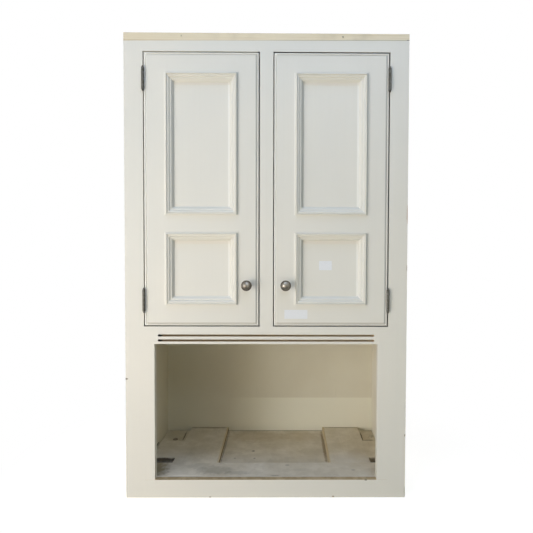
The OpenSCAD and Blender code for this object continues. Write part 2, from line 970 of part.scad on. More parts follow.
// Rail with stub haunches in the stiles' grooves and a tenon at each end.
// Grooves open it above, below or on both sides for the panels.
module door_rail(z, groove_zs) {
    color(paint)
        difference() {
            union() {
                span(daylight_x, [face_y, door_back_y], z);
                span([daylight_x[0] - groove_d, daylight_x[1] + groove_d], door_panel_y, z);
                rail_tenons(z);
            }
            for (groove_z = groove_zs)
                span([daylight_x[0] - groove_d - over, daylight_x[1] + groove_d + over],
                     door_panel_y, groove_z);
            door_edge_cutter();
        }
}

module door_top_rail() {
    foot = upper_daylight_z[1];
    door_rail([foot, door_z[1]], [[foot - over, foot + groove_d]]);
}

module door_middle_rail() {
    z = [lower_daylight_z[1], upper_daylight_z[0]];
    door_rail(z, [[z[0] - over, z[0] + groove_d], [z[1] - groove_d, z[1] + over]]);
}

module door_bottom_rail() {
    head = lower_daylight_z[0];
    door_rail([door_z[0], head], [[head - groove_d, head + over]]);
}

module door_panel(z) {
    color(paint)
        span([daylight_x[0] - panel_grip, daylight_x[1] + panel_grip], door_panel_y,
             [z[0] - panel_grip, z[1] + panel_grip]);
}

// Bolection moulding in section: lip, bead, quirk, flat, ovolo, fillet and a rounded slope.
// x runs inwards from its outer edge, y backwards from the door's face.
module moulding_outline() {
    quirk_x = lip_w + 2 * bead_r;
    flat_x = quirk_x + quirk_w;
    ovolo_x = flat_x + flat_w;
    fillet_x = ovolo_x + ovolo_r;
    bead_y = bead_r - moulding_rise;
    fillet_y = ovolo_r - ovolo_rise;
    slope = [moulding_w - fillet_x - fillet_w, door_panel_set - fillet_y];
    chord = norm(slope);
    slope_centre = [moulding_w, door_panel_set] - slope / 2
        + sqrt(slope_r * slope_r - chord * chord / 4) * [-slope[1], slope[0]] / chord;
    difference() {
        union() {
            translate([0, -lip_rise])
                square([quirk_x, lip_rise + door_panel_set]);
            translate([lip_w + bead_r, bead_y])
                circle(r = bead_r);
            translate([lip_w, bead_y])
                square([2 * bead_r, door_panel_set - bead_y]);
            translate([quirk_x, -quirk_rise])
                square([quirk_w, quirk_rise + door_panel_set]);
            translate([flat_x, -ovolo_rise])
                square([flat_w, ovolo_rise + door_panel_set]);
            intersection() {
                translate([ovolo_x, fillet_y])
                    circle(r = ovolo_r);
                translate([ovolo_x, -ovolo_rise])
                    square([ovolo_r, ovolo_r]);
            }
            translate([ovolo_x, fillet_y])
                square([ovolo_r, door_panel_set - fillet_y]);
            intersection() {
                translate(slope_centre)
                    circle(r = slope_r);
                translate([fillet_x, fillet_y])
                    square([moulding_w, door_panel_set - fillet_y]);
            }
        }
        translate([-over, 0])
            square([moulding_lap + over, door_panel_set + over]);
    }
}

module panel_moulding(z) {
    color(paint)
        mitred_frame([daylight_x[0] - moulding_lap, daylight_x[1] + moulding_lap],
                     [z[0] - moulding_lap, z[1] + moulding_lap])
            moulding_outline();
}

module door_hinge_leaves() {
    color(dark_steel)
        for (z = hinge_zs)
            translate([0, 0, z])
                difference() {
                    hinge_leaf([door_x[0], door_x[0] + leaf_t], 1);
                    door_leaf_screw_places()
                        screw_hole(hinge_screw_d, hinge_screw_head_d, hinge_screw_l);
                }
}

module door_hinge_screws() {
    color(dark_steel)
        for (z = hinge_zs)
            translate([0, 0, z])
                door_leaf_screw_places()
                    wood_screw(hinge_screw_d, hinge_screw_head_d, hinge_screw_l);
}

// Half of a knob's section: x from its axis, y from the door's face outwards
module knob_outline() {
    head_r = knob_d / 2;
    rose_r = knob_rose_d / 2;
    neck_r = knob_neck_d / 2;
    rose_h = 2.5;
    rim_r = 1.6;
    rim_y = knob_reach * 0.7;
    dome_h = knob_reach - rim_y - rim_r * 0.5;
    dome_edge_r = head_r - 1.6 * rim_r;
    dome_r = (dome_edge_r * dome_edge_r + dome_h * dome_h) / (2 * dome_h);
    flare_h = knob_reach * 0.33;
    cove = (head_r - rim_r - neck_r) * 0.9;
    // Rose with a rounded edge
    square([rose_r - rose_h / 2, rose_h]);
    intersection() {
        translate([rose_r - rose_h / 2, rose_h / 2])
            circle(r = rose_h / 2);
        square([rose_r, rose_h]);
    }
    // Neck and the underside that flares out to the rim
    square([neck_r, rim_y]);
    difference() {
        translate([0, rim_y - cove])
            square([neck_r + cove, cove]);
        translate([neck_r + cove, rim_y - cove])
            circle(r = cove);
    }
    // Rim
    translate([0, rim_y - rim_r])
        square([head_r - rim_r, 2 * rim_r]);
    translate([head_r - rim_r, rim_y])
        circle(r = rim_r);
    // Dome
    intersection() {
        translate([0, knob_reach - dome_r])
            circle(r = dome_r);
        translate([0, rim_y])
            square([dome_edge_r, knob_reach - rim_y]);
    }
}

module door_knob() {
    color(pewter)
        translate([-knob_x, face_y, knob_z])
            rotate([90, 0, 0])
                difference() {
                    rotate_extrude()
                        knob_outline();
                    translate([0, 0, -over])
                        cylinder(d = knob_screw_d + 2 * fit, h = knob_screw_bite + over);
                }
}

module door_knob_screw() {
    head_h = knob_screw_d / 2;
    slot_w = knob_screw_head_d * 0.15;
    color(dark_steel)
        translate([-knob_x, door_back_y, knob_z])
            rotate([-90, 0, 0])
                difference() {
                    union() {
                        cylinder(d = knob_screw_head_d, h = head_h);
                        translate([0, 0, -door_t - knob_screw_bite + over])
                            cylinder(d = knob_screw_d, h = door_t + knob_screw_bite - over);
                    }
                    translate([-knob_screw_head_d, -slot_w / 2, head_h / 2])
                        cube([2 * knob_screw_head_d, slot_w, head_h]);
                }
}

module door_strike() {
    color(pewter)
        span(catch_x, strike_y, strike_z);
}

module left_door_hinge_stile() {
    door_hinge_stile();
}

module left_door_lock_stile() {
    door_lock_stile();
}

module left_door_top_rail() {
    door_top_rail();
}

module left_door_middle_rail() {
    door_middle_rail();
}

module left_door_bottom_rail() {
    door_bottom_rail();
}

module left_door_upper_panel() {
    door_panel(upper_daylight_z);
}

module left_door_lower_panel() {
    door_panel(lower_daylight_z);
}

module left_door_upper_moulding() {
    panel_moulding(upper_daylight_z);
}

module left_door_lower_moulding() {
    panel_moulding(lower_daylight_z);
}

module left_door_hinge_leaves() {
    door_hinge_leaves();
}

module left_door_hinge_screws() {
    door_hinge_screws();
}

module left_door_knob() {
    door_knob();
}

module left_door_knob_screw() {
    door_knob_screw();
}

module left_door_strike() {
    door_strike();
}

module right_door_hinge_stile() {
    on_right() door_hinge_stile();
}

module right_door_lock_stile() {
    on_right() door_lock_stile();
}

module right_door_top_rail() {
    on_right() door_top_rail();
}

module right_door_middle_rail() {
    on_right() door_middle_rail();
}

module right_door_bottom_rail() {
    on_right() door_bottom_rail();
}

module right_door_upper_panel() {
    on_right() door_panel(upper_daylight_z);
}

module right_door_lower_panel() {
    on_right() door_panel(lower_daylight_z);
}

module right_door_upper_moulding() {
    on_right() panel_moulding(upper_daylight_z);
}

module right_door_lower_moulding() {
    on_right() panel_moulding(lower_daylight_z);
}

module right_door_hinge_leaves() {
    on_right() door_hinge_leaves();
}

module right_door_hinge_screws() {
    on_right() door_hinge_screws();
}

module right_door_knob() {
    on_right() door_knob();
}

module right_door_knob_screw() {
    on_right() door_knob_screw();
}

module right_door_strike() {
    on_right() door_strike();
}

left_side_panel();
right_side_panel();
top_panel();
bay_divider();
base_panel();
back_panel();
hanging_rail();
middle_back_rail();
lower_back_rail();
left_frame_stile();
right_frame_stile();
frame_mullion();
frame_top_rail();
frame_middle_rail();
frame_bottom_rail();
left_bay_infill();
right_bay_infill();
cornice_batten();
batten_screws();
upper_shelf();
lower_shelf();
shelf_pins();
platform_front_board();
platform_left_board();
platform_right_board();
platform_left_block();
platform_right_block();
base_screws();
frame_hinge_leaves();
frame_hinge_screws();
hinge_pins();
door_catches();
left_door_hinge_stile();
left_door_lock_stile();
left_door_top_rail();
left_door_middle_rail();
left_door_bottom_rail();
left_door_upper_panel();
left_door_lower_panel();
left_door_upper_moulding();
left_door_lower_moulding();
left_door_hinge_leaves();
left_door_hinge_screws();
left_door_knob();
left_door_knob_screw();
left_door_strike();
right_door_hinge_stile();
right_door_lock_stile();
right_door_top_rail();
right_door_middle_rail();
right_door_bottom_rail();
right_door_upper_panel();
right_door_lower_panel();
right_door_upper_moulding();
right_door_lower_moulding();
right_door_hinge_leaves();
right_door_hinge_screws();
right_door_knob();
right_door_knob_screw();
right_door_strike();
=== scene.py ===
"""Painted kitchen wall cabinet: two moulded doors over an open bay, dressed over its fixed frame.

Everything is in metres, in the row frame: x to the right, y to the back, z up from the cabinet's foot.
New pieces are surfaces worked out with numpy; the finishes are node materials on Object coordinates.
"""

import math

import bpy
import numpy as np
from mathutils import Matrix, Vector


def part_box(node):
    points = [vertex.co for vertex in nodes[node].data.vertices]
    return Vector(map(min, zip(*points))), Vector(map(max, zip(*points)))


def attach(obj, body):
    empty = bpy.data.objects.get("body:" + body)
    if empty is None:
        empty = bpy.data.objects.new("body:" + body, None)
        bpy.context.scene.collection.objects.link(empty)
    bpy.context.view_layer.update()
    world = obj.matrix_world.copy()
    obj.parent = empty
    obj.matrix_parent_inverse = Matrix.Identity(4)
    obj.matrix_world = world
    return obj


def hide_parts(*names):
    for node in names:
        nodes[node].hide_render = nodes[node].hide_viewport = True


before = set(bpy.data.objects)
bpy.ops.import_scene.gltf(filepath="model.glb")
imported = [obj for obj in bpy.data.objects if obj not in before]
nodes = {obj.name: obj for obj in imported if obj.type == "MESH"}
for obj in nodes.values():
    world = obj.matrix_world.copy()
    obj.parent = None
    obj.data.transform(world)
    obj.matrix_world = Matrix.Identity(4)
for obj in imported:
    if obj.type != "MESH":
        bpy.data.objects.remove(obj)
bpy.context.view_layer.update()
scene = bpy.context.scene
scene.view_settings.view_transform = "Standard"

MM = 0.001
PHOTO_PX = 533

# The closed doors' outline, in metres: they reach from DOOR_INNER_X outwards to either side
DOORS_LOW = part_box("left_door_hinge_stile")[0]
DOORS_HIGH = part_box("right_door_hinge_stile")[1]
DOOR_INNER_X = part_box("right_door_lock_stile")[0].x
FACE_Y = DOORS_LOW.y
FRAME_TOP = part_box("left_frame_stile")[1].z
KNOB_LOW, KNOB_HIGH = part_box("right_door_knob")
KNOB_X = (KNOB_LOW.x + KNOB_HIGH.x) / 2
KNOB_Z = (KNOB_LOW.z + KNOB_HIGH.z) / 2

# Where spots lie, in mm: just inside the front face, on the packing boards and on the bay's base
FRONT = FACE_Y / MM + 0.5
BOARDS_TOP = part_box("platform_front_board")[1].z / MM
BASE_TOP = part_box("base_panel")[1].z / MM


def stand(thing, place, right, upward, back):
    """Puts the camera or a lamp at a place, turned so that it looks away from its back."""
    turn = Matrix([[right[i], upward[i], back[i]] for i in range(3)]).to_4x4()
    thing.matrix_world = Matrix.Translation(place) @ turn
    scene.collection.objects.link(thing)


def photo_camera():
    """The photograph's own viewpoint: a 33 mm lens, 0.77 m up and 1.4 m before the face."""
    place = (0.0516, -1.5772, 0.7664)
    focal_px = 491.0
    yaw, pitch, roll = math.radians(0.48), math.radians(1.69), math.radians(-0.18)
    ahead = np.array([math.sin(yaw) * math.cos(pitch), math.cos(yaw) * math.cos(pitch), -math.sin(pitch)])
    level = np.array([math.cos(yaw), -math.sin(yaw), 0.0])
    above = np.cross(level, ahead)
    right = math.cos(roll) * level - math.sin(roll) * above
    upward = math.sin(roll) * level + math.cos(roll) * above
    lens = bpy.data.cameras.new("camera")
    lens.sensor_fit = "HORIZONTAL"
    lens.sensor_width = 36.0
    lens.lens = lens.sensor_width * focal_px / PHOTO_PX
    lens.shift_x = -0.0417
    lens.shift_y = -0.0396
    camera = bpy.data.objects.new("camera", lens)
    stand(camera, place, right, upward, -ahead)
    scene.camera = camera


def linear(colour):
    """A hex sRGB colour as linear red, green, blue and alpha."""
    parts = [int(colour[i:i + 2], 16) / 255 for i in (1, 3, 5)]
    parts = [c / 12.92 if c <= 0.04045 else ((c + 0.055) / 1.055) ** 2.4 for c in parts]
    return (*parts, 1.0)


def add_node(tree, kind, inputs=None, give=0, **settings):
    """Adds one shader node with its settings and links, and gives one of its outputs.

    Inputs are values or other nodes' outputs, under the socket's name or number.
    """
    made = tree.nodes.new("ShaderNode" + kind)
    for name, value in settings.items():
        setattr(made, name, value)
    for name, value in (inputs or {}).items():
        if isinstance(value, bpy.types.NodeSocket):
            tree.links.new(value, made.inputs[name])
        else:
            made.inputs[name].default_value = value
    return made.outputs[give] if made.outputs else made


def start_finish(name):
    """A new empty material, its node tree, and where a point lies on the cabinet."""
    material = bpy.data.materials.new(name)
    material.use_nodes = True
    tree = material.node_tree
    tree.nodes.clear()
    return material, tree, add_node(tree, "TexCoord", give="Object")


def close_finish(tree, sockets):
    """Ends a finish in one Principled shader; what is even all over is set on its own sockets."""
    add_node(tree, "OutputMaterial", {"Surface": add_node(tree, "BsdfPrincipled", sockets)})


def overlap(tree, *shares):
    """Shares multiplied, each a number or a pattern: what is left lies where all of them do."""
    whole = shares[0]
    for share in shares[1:]:
        whole = add_node(tree, "Math", {0: whole, 1: share}, operation="MULTIPLY")
    return whole


def zone(tree, value, *edges):
    """A share that is 1 where a value lies past every edge, each of which fades in from none to full."""
    shares = [add_node(tree, "MapRange", {"Value": value, "From Min": none, "From Max": full},
                       interpolation_type="SMOOTHSTEP") for none, full in edges]
    return overlap(tree, *shares)


def away_from(tree, value, middle):
    """How far a value lies from its middle, to either side."""
    off = add_node(tree, "Math", {0: value, 1: middle}, operation="SUBTRACT")
    return add_node(tree, "Math", {0: off}, operation="ABSOLUTE")


def layer(tree, coat, colour, *shares):
    """A coat with a thin layer of another colour over it, as strong as its shares multiplied."""
    coat, colour = (linear(c) if isinstance(c, str) else c for c in (coat, colour))
    return add_node(tree, "Mix", {0: overlap(tree, *shares), 6: coat, 7: colour}, give=2, data_type="RGBA")


def streaks(tree, place, run, across_mm, along_mm, detail=2.0, roughness=0.5):
    """Noise drawn out along one axis: its features are across_mm wide and along_mm long."""
    scale = [1 / (across_mm * MM)] * 3
    scale["XYZ".index(run)] = 1 / (along_mm * MM)
    drawn = add_node(tree, "VectorMath", {0: place, 1: scale}, operation="MULTIPLY")
    return add_node(tree, "TexNoise",
                    {"Vector": drawn, "Scale": 1.0, "Detail": detail, "Roughness": roughness})


def cloud(tree, place, size_mm, detail=3.0, roughness=0.5):
    """Even noise with features size_mm across."""
    return streaks(tree, place, "X", size_mm, size_mm, detail, roughness)


def relief(tree, height, depth_mm, strength, arris_mm=0.0):
    """The surface's direction over bumps depth_mm high, with its arrises rounded as sanding leaves them."""
    sockets = {"Height": height, "Distance": depth_mm * MM, "Strength": strength}
    if arris_mm:
        sockets["Normal"] = add_node(tree, "Bevel", {"Radius": arris_mm * MM}, samples=4)
    return add_node(tree, "Bump", sockets)


def rubbed_and_lit_arris(tree, place, radius_mm, share):
    """An arris mask where the rounded direction leaves the true one, broken up by noise: rubbed arrises, and
    on the boards also a painted highlight.
    """
    rounded = add_node(tree, "Bevel", {"Radius": radius_mm * MM}, samples=4)
    true = add_node(tree, "NewGeometry", give="Normal")
    turn = add_node(tree, "VectorMath", {0: rounded, 1: true}, give="Value", operation="DOT_PRODUCT")
    broken = zone(tree, cloud(tree, place, 14.0, 5.0, 0.6), (1 - share, 1.04 - share))
    return overlap(tree, zone(tree, turn, (0.97, 0.85)), broken)


def dust_and_shade_in_corners(tree, reach_mm):
    """How closed-in a point is, 0 in the open and 1 deep in a corner."""
    sky = add_node(tree, "AmbientOcclusion", {"Distance": reach_mm * MM}, give="AO",
                   samples=4, only_local=True)
    return add_node(tree, "Math", {0: 1.0, 1: sky}, operation="SUBTRACT", use_clamp=True)


def patch(tree, place, centre_mm, half_mm, soft, ragged, grit_mm):
    """A ragged oval spot: the distance from its centre in half widths, roughened by noise and softened."""
    shift = add_node(tree, "VectorMath", {0: place, 1: [c * MM for c in centre_mm]}, operation="SUBTRACT")
    drawn = add_node(tree, "VectorMath", {0: shift, 1: [1 / (h * MM) for h in half_mm]}, operation="MULTIPLY")
    away = add_node(tree, "VectorMath", {0: drawn}, give="Value", operation="LENGTH")
    grit = cloud(tree, place, grit_mm)
    rough = add_node(tree, "Math", {0: grit, 1: 2 * ragged, 2: -ragged}, operation="MULTIPLY_ADD")
    reach = add_node(tree, "Math", {0: away, 1: rough}, operation="ADD")
    return zone(tree, reach, (1.0, 1.0 - soft))


def spotted(marks, soft=0.35, ragged=0.25, grit_mm=6.0):
    """Wear of single spots, each with its centre and half widths in mm, its colour and its share."""
    def lay(tree, place, coat):
        for centre, half, colour, share in marks:
            coat = layer(tree, coat, colour, patch(tree, place, centre, half, soft, ragged, grit_mm), share)
        return coat
    return lay


def lit_and_shaded_lines(lines):
    """Painted highlights and painted shade in upright lines on the doors: middle x, half width, foot and head
    in mm, colour and share.
    """
    def lay(tree, place, coat):
        axes = add_node(tree, "SeparateXYZ", {0: place}).node.outputs
        front = zone(tree, axes["Y"], (FACE_Y + 13 * MM, FACE_Y + 12 * MM))
        for middle, half, foot, head, colour, share in lines:
            off = away_from(tree, axes["X"], middle * MM)
            near = zone(tree, off, ((half + 0.6) * MM, (half - 0.6) * MM))
            length = zone(tree, axes["Z"], ((foot - 1) * MM, (foot + 1) * MM),
                          ((head + 1) * MM, (head - 1) * MM))
            coat = layer(tree, coat, colour, near, front, length, share)
        return coat
    return lay


def above_paint(tree, place):
    """Height over the paint's upper edge, which climbs 4 mm from left to right and wavers by 0.6 mm."""
    slope, middle_z = 0.0052, FRAME_TOP - 0.2 * MM
    axes = add_node(tree, "SeparateXYZ", {0: place}).node.outputs
    climb = add_node(tree, "Math", {0: axes["X"], 1: slope, 2: middle_z}, operation="MULTIPLY_ADD")
    drift = cloud(tree, place, 40.0)
    waver = add_node(tree, "Math", {0: drift, 1: 1.2 * MM, 2: -0.6 * MM}, operation="MULTIPLY_ADD")
    edge = add_node(tree, "Math", {0: climb, 1: waver}, operation="ADD")
    return add_node(tree, "Math", {0: axes["Z"], 1: edge}, operation="SUBTRACT")


def short_paint(tree, place, coat):
    """The paint stops just short of the frame's top edge on the left, as the brush left it."""
    return layer(tree, coat, "#CDB993", zone(tree, above_paint(tree, place), (0.0, 0.4 * MM)))


def vents_bare_and_shaded(tree, place, coat):
    """The router cut the two vent slots back to bare wood; their left ends are painted black as painted
    shade.
    """
    left_end, slot_heights = -308 * MM, (10.1, 24.4)
    rail_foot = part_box("frame_middle_rail")[0].z
    axes = add_node(tree, "SeparateXYZ", {0: place}).node.outputs
    lower, upper = (zone(tree, away_from(tree, axes["Z"], rail_foot + up * MM), (3.4 * MM, 3.2 * MM))
                    for up in slot_heights)
    either = add_node(tree, "Math", {0: lower, 1: upper}, operation="MAXIMUM")
    slots = overlap(tree, either, zone(tree, axes["Y"], (FACE_Y + 0.2 * MM, FACE_Y + 0.8 * MM)))
    coat = layer(tree, coat, "#C8B08A", slots)
    # The slots' left ends are painted black as painted shade
    return layer(tree, coat, "#0C0A07", slots, zone(tree, axes["X"], (left_end + 12 * MM, left_end + 8 * MM)))


def rubbed_sill(tree, place, coat):
    """The sill's upper edge is rubbed back to the wood but for a line of paint along its back."""
    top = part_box("frame_bottom_rail")[1].z
    axes = add_node(tree, "SeparateXYZ", {0: place}).node.outputs
    timber = layer(tree, "#A78F65", "#BEA77F", zone(tree, cloud(tree, place, 22.0, 4.0), (0.35, 0.65)))
    edge = zone(tree, axes["Z"], (top - 0.4 * MM, top - 0.1 * MM))
    before = zone(tree, axes["Y"], (FACE_Y + 19.0 * MM, FACE_Y + 17.5 * MM))
    return layer(tree, coat, timber, edge, before, 0.9)


def shaded_quirks(tree, place, coat):
    """Painted shade lies in the quirk inside the bead on the doors' edges, 7.2 mm in from the edge.

    Most of it is on the side away from the window; along the top it is blue-grey, and along the foot brown.
    """
    inset = 7.2 * MM
    axes = add_node(tree, "SeparateXYZ", {0: place}).node.outputs
    aside = add_node(tree, "Math", {0: axes["X"]}, operation="ABSOLUTE")
    across = zone(tree, aside, (DOOR_INNER_X + 5 * MM, DOOR_INNER_X + 6 * MM),
                  (DOORS_HIGH.x - 5 * MM, DOORS_HIGH.x - 6 * MM))
    tall = zone(tree, axes["Z"], (DOORS_LOW.z + 5 * MM, DOORS_LOW.z + 6 * MM),
                (DOORS_HIGH.z - 5 * MM, DOORS_HIGH.z - 6 * MM))
    front = zone(tree, axes["Y"], (FACE_Y + 3 * MM, FACE_Y + 2 * MM))
    for axis, middle, length, colour, share in (("X", -DOOR_INNER_X - inset, tall, "#85857E", 0.5),
                                                ("X", DOORS_HIGH.x - inset, tall, "#85857E", 0.55),
                                                ("Z", DOORS_HIGH.z - inset, across, "#A6ACB2", 0.15),
                                                ("Z", DOORS_LOW.z + inset, across, "#A3967E", 0.35)):
        near = zone(tree, away_from(tree, axes[axis], middle), (3.0 * MM, 1.4 * MM))
        coat = layer(tree, coat, colour, near, length, front, share)
    return coat


def shaded_gaps(tree, place, coat):
    """Dark painted shade lies on the doors' edges and the frame's edges that face them.

    Around the left door it is left off but for its inner edge and its foot.
    """
    slit, hair = 2.6 * MM, 0.4 * MM
    axes = add_node(tree, "SeparateXYZ", {0: place}).node.outputs
    aside = add_node(tree, "Math", {0: axes["X"]}, operation="ABSOLUTE")

    def outline(grow):
        inner, outer = DOOR_INNER_X - grow, DOORS_HIGH.x + grow
        foot, head = DOORS_LOW.z - grow, DOORS_HIGH.z + grow
        return overlap(tree, zone(tree, aside, (inner - hair, inner), (outer + hair, outer)),
                       zone(tree, axes["Z"], (foot - hair, foot), (head + hair, head)))

    round_door = add_node(tree, "Math", {0: 1.0, 1: outline(-1.5 * hair)}, operation="SUBTRACT")
    behind = zone(tree, axes["Y"], (FACE_Y + 0.5 * MM, FACE_Y + 1.5 * MM))
    right_of = zone(tree, axes["X"], (-DOOR_INNER_X - 5.5 * MM, -DOOR_INNER_X - 1.0 * MM))
    under = zone(tree, axes["Z"], (DOORS_LOW.z + 3.5 * MM, DOORS_LOW.z + 0.5 * MM))
    shaded_edges = add_node(tree, "Math", {0: right_of, 1: under}, operation="MAXIMUM")
    # Dark painted shade in the slits round the doors
    return layer(tree, coat, "#4A4233", outline(slit), round_door, behind, shaded_edges, 0.7)


def painted_ends(tree, place, coat):
    """The cabinet's own ends are painted as its front is."""
    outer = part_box("right_side_panel")[1].x
    axes = add_node(tree, "SeparateXYZ", {0: place}).node.outputs
    out = zone(tree, away_from(tree, axes["X"], 0.0), (outer - 1.1 * MM, outer - 0.2 * MM))
    return layer(tree, coat, "#E3DFD2", out)


def back_shade_and_ply(tree, place, coat):
    """The back board's lacquer is painted darker at the left, away from the window, as painted shade; behind,
    it is bare ply.

    Below 161 mm and right of the middle, its front is paler.
    """
    front, rear = (corner.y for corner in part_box("back_panel"))
    step_height = 161 * MM
    axes = add_node(tree, "SeparateXYZ", {0: place}).node.outputs
    # Painted shade: darker towards the left
    coat = layer(tree, coat, "#C6BFA8", zone(tree, axes["X"], (0.2, -0.3)), 0.5)
    ply = zone(tree, streaks(tree, place, "Z", 14.0, 420.0, 4.0), (0.35, 0.7))
    pores = zone(tree, cloud(tree, place, 3.0, 3.0, 0.6), (0.45, 0.75))
    bare = layer(tree, layer(tree, "#C2AD88", "#A8906A", ply), "#8E7955", pores, 0.3)
    coat = layer(tree, coat, bare, zone(tree, axes["Y"], (rear - 1.3 * MM, rear - 0.5 * MM)))
    low = zone(tree, axes["Z"], (step_height + 0.8 * MM, step_height - 1.0 * MM))
    before = zone(tree, axes["Y"], (front + 3.0 * MM, front + 1.0 * MM))
    return layer(tree, coat, "#EAE7D5", low, zone(tree, axes["X"], (-0.2, 0.1)), before, 0.9)


def batten_front(tree, place, wood):
    """The batten's front: paint at its foot, over it a dark painted shadow line, a notch and nail holes."""
    over = above_paint(tree, place)
    axes = add_node(tree, "SeparateXYZ", {0: place}).node.outputs
    # A dark painted shadow line just above the paint's edge, strongest towards the right
    seam = zone(tree, away_from(tree, over, 0.6 * MM), (1.6 * MM, 0.6 * MM))
    rightwards = add_node(tree, "Mix", {0: zone(tree, axes["X"], (-0.3, 0.35)), 2: 0.15, 3: 0.6})
    wood = layer(tree, wood, "#8F8B72", seam, rightwards)
    hole = "#55534A"
    wood = spotted([
        ((397.0, FRONT, 1300.5), (6.0, 7.0, 2.6), hole, 0.7),
        ((213.3, FRONT, 1309.7), (2.6, 6.0, 2.2), hole, 0.9),
        ((-238.7, FRONT, 1310.7), (2.6, 6.0, 2.2), hole, 0.4),
    ])(tree, place, wood)
    return layer(tree, wood, "#E3DFD2", zone(tree, over, (0.0, -0.4 * MM)))


def rubbed_and_lit_edge(edge_x):
    """A tan line along a board's long edge at edge_x: rubbed wear and partly a painted highlight."""
    def lay(tree, place, coat):
        axes = add_node(tree, "SeparateXYZ", {0: place}).node.outputs
        off = away_from(tree, axes["X"], edge_x)
        return layer(tree, coat, "#C9B48A", zone(tree, off, (7.5 * MM, 4.0 * MM)), 0.7)
    return lay


def shaded_cut(edge_x):
    """Painted shade on the upright face that was cut at edge_x, under its pale edge."""
    def lay(tree, place, coat):
        axes = add_node(tree, "SeparateXYZ", {0: place}).node.outputs
        off = away_from(tree, axes["X"], edge_x)
        return layer(tree, coat, "#4F4129", zone(tree, off, (0.5 * MM, 0.2 * MM)), 0.65)
    return lay


def satin_cream(name, run, *wear, dusty=0.05, arris_mm=0.4, strength=0.22, grained=0.07):
    """Cream satin eggshell, brushed onto tulipwood frames and doors and rubbed down between coats.

    Gives the eye a nearly even pale cream with a low sheen, a slight drift in tone from coat to coat,
    the timber's long grain showing faintly along each member, and a few rubbed arrises.
    """
    material, tree, place = start_finish(name)
    coat = layer(tree, "#E0DCCF", "#DDDACE", zone(tree, cloud(tree, place, 260.0, 2.0), (0.3, 0.7)))
    # Grain of 5 mm bands that run the member's length, drawn a little coarser than the wood's to show
    grain = streaks(tree, place, run, 5.0, 240.0)
    coat = layer(tree, coat, "#D6D1C3", zone(tree, grain, (0.35, 0.75)), grained)
    fine = cloud(tree, place, 2.6, 4.0, 0.65)
    coat = layer(tree, coat, "#CFC9BA", zone(tree, fine, (0.58, 0.8)), 1.4 * grained)
    # Painted shade with some dust darkens the corners and hollows, as strong as dusty
    coat = layer(tree, coat, "#B0A890", dust_and_shade_in_corners(tree, 12.0), dusty)
    if arris_mm:
        coat = layer(tree, coat, "#A08E70", rubbed_and_lit_arris(tree, place, 0.8, 0.3), 0.35)
    for lay in wear:
        coat = lay(tree, place, coat)
    # Brush marks 2.4 mm apart and the grain under them
    brush = streaks(tree, place, run, 2.4, 70.0)
    height = add_node(tree, "Mix", {0: 0.5, 2: brush, 3: grain})
    sheen = add_node(tree, "Mix", {0: zone(tree, brush, (0.3, 0.7)), 2: 0.38, 3: 0.47})
    close_finish(tree, {"Base Color": coat, "Roughness": sheen, "IOR": 1.46, "Specular IOR Level": 0.35,
                        "Normal": relief(tree, height, 0.10, strength, arris_mm)})
    return material


def cabinet_lacquer(name, run, *wear, tones=("#E0DBCA", "#DBD5C3")):
    """Matt cream lacquer, sprayed thin on the cabinet's boards and a little yellowed with age.

    Gives a flat, slightly yellow cream with soft drifts, faint roller stipple and scuffs where things slid.
    """
    material, tree, place = start_finish(name)
    coat = layer(tree, *tones, zone(tree, cloud(tree, place, 180.0, 3.0), (0.3, 0.7)))
    stipple = cloud(tree, place, 3.0, 3.0, 0.6)
    coat = layer(tree, coat, "#CBC5AF", zone(tree, stipple, (0.5, 0.8)), 0.12)
    scuffs = streaks(tree, place, run, 9.0, 130.0, 4.0)
    coat = layer(tree, coat, "#C6C0AB", zone(tree, scuffs, (0.62, 0.78)), 0.2)
    # Painted shade with some dust darkens the corners within 25 mm
    coat = layer(tree, coat, "#8E8267", dust_and_shade_in_corners(tree, 25.0), 0.25)
    for lay in wear:
        coat = lay(tree, place, coat)
    close_finish(tree, {"Base Color": coat, "Roughness": 0.6, "IOR": 1.46, "Specular IOR Level": 0.25,
                        "Normal": relief(tree, stipple, 0.15, 0.3, 0.7)})
    return material


def bare_pine(name, run, *wear):
    """Bare sawn pine: a pale warm wood with darker late-wood bands 4 mm apart and fine raised fibres."""
    material, tree, place = start_finish(name)
    axes = add_node(tree, "SeparateXYZ", {0: place}).node.outputs
    bend = streaks(tree, place, run, 60.0, 700.0)
    rings = streaks(tree, place, run, 4.0, 320.0, 3.0)
    fibres = streaks(tree, place, run, 0.9, 40.0, 3.0)
    grime = cloud(tree, place, 70.0, 4.0)
    wood = layer(tree, "#EBDFC3", "#E4D6B7", zone(tree, bend, (0.3, 0.7)))
    wood = layer(tree, wood, "#D5C095", zone(tree, rings, (0.48, 0.72)), 0.45)
    wood = layer(tree, wood, "#A98F64", zone(tree, fibres, (0.5, 0.8)), 0.2)
    wood = layer(tree, wood, "#A79A80", zone(tree, grime, (0.5, 0.8)), 0.3)
    # The board darkens towards its left end, where its heartwood lies
    wood = layer(tree, wood, "#A8966F", zone(tree, axes["X"], (0.15, -0.3)), 0.16)
    for lay in wear:
        wood = lay(tree, place, wood)
    height = add_node(tree, "Mix", {0: 0.4, 2: rings, 3: fibres})
    close_finish(tree, {"Base Color": wood, "Roughness": 0.72, "IOR": 1.45, "Specular IOR Level": 0.25,
                        "Normal": relief(tree, height, 0.25, 0.5, 0.8)})
    return material


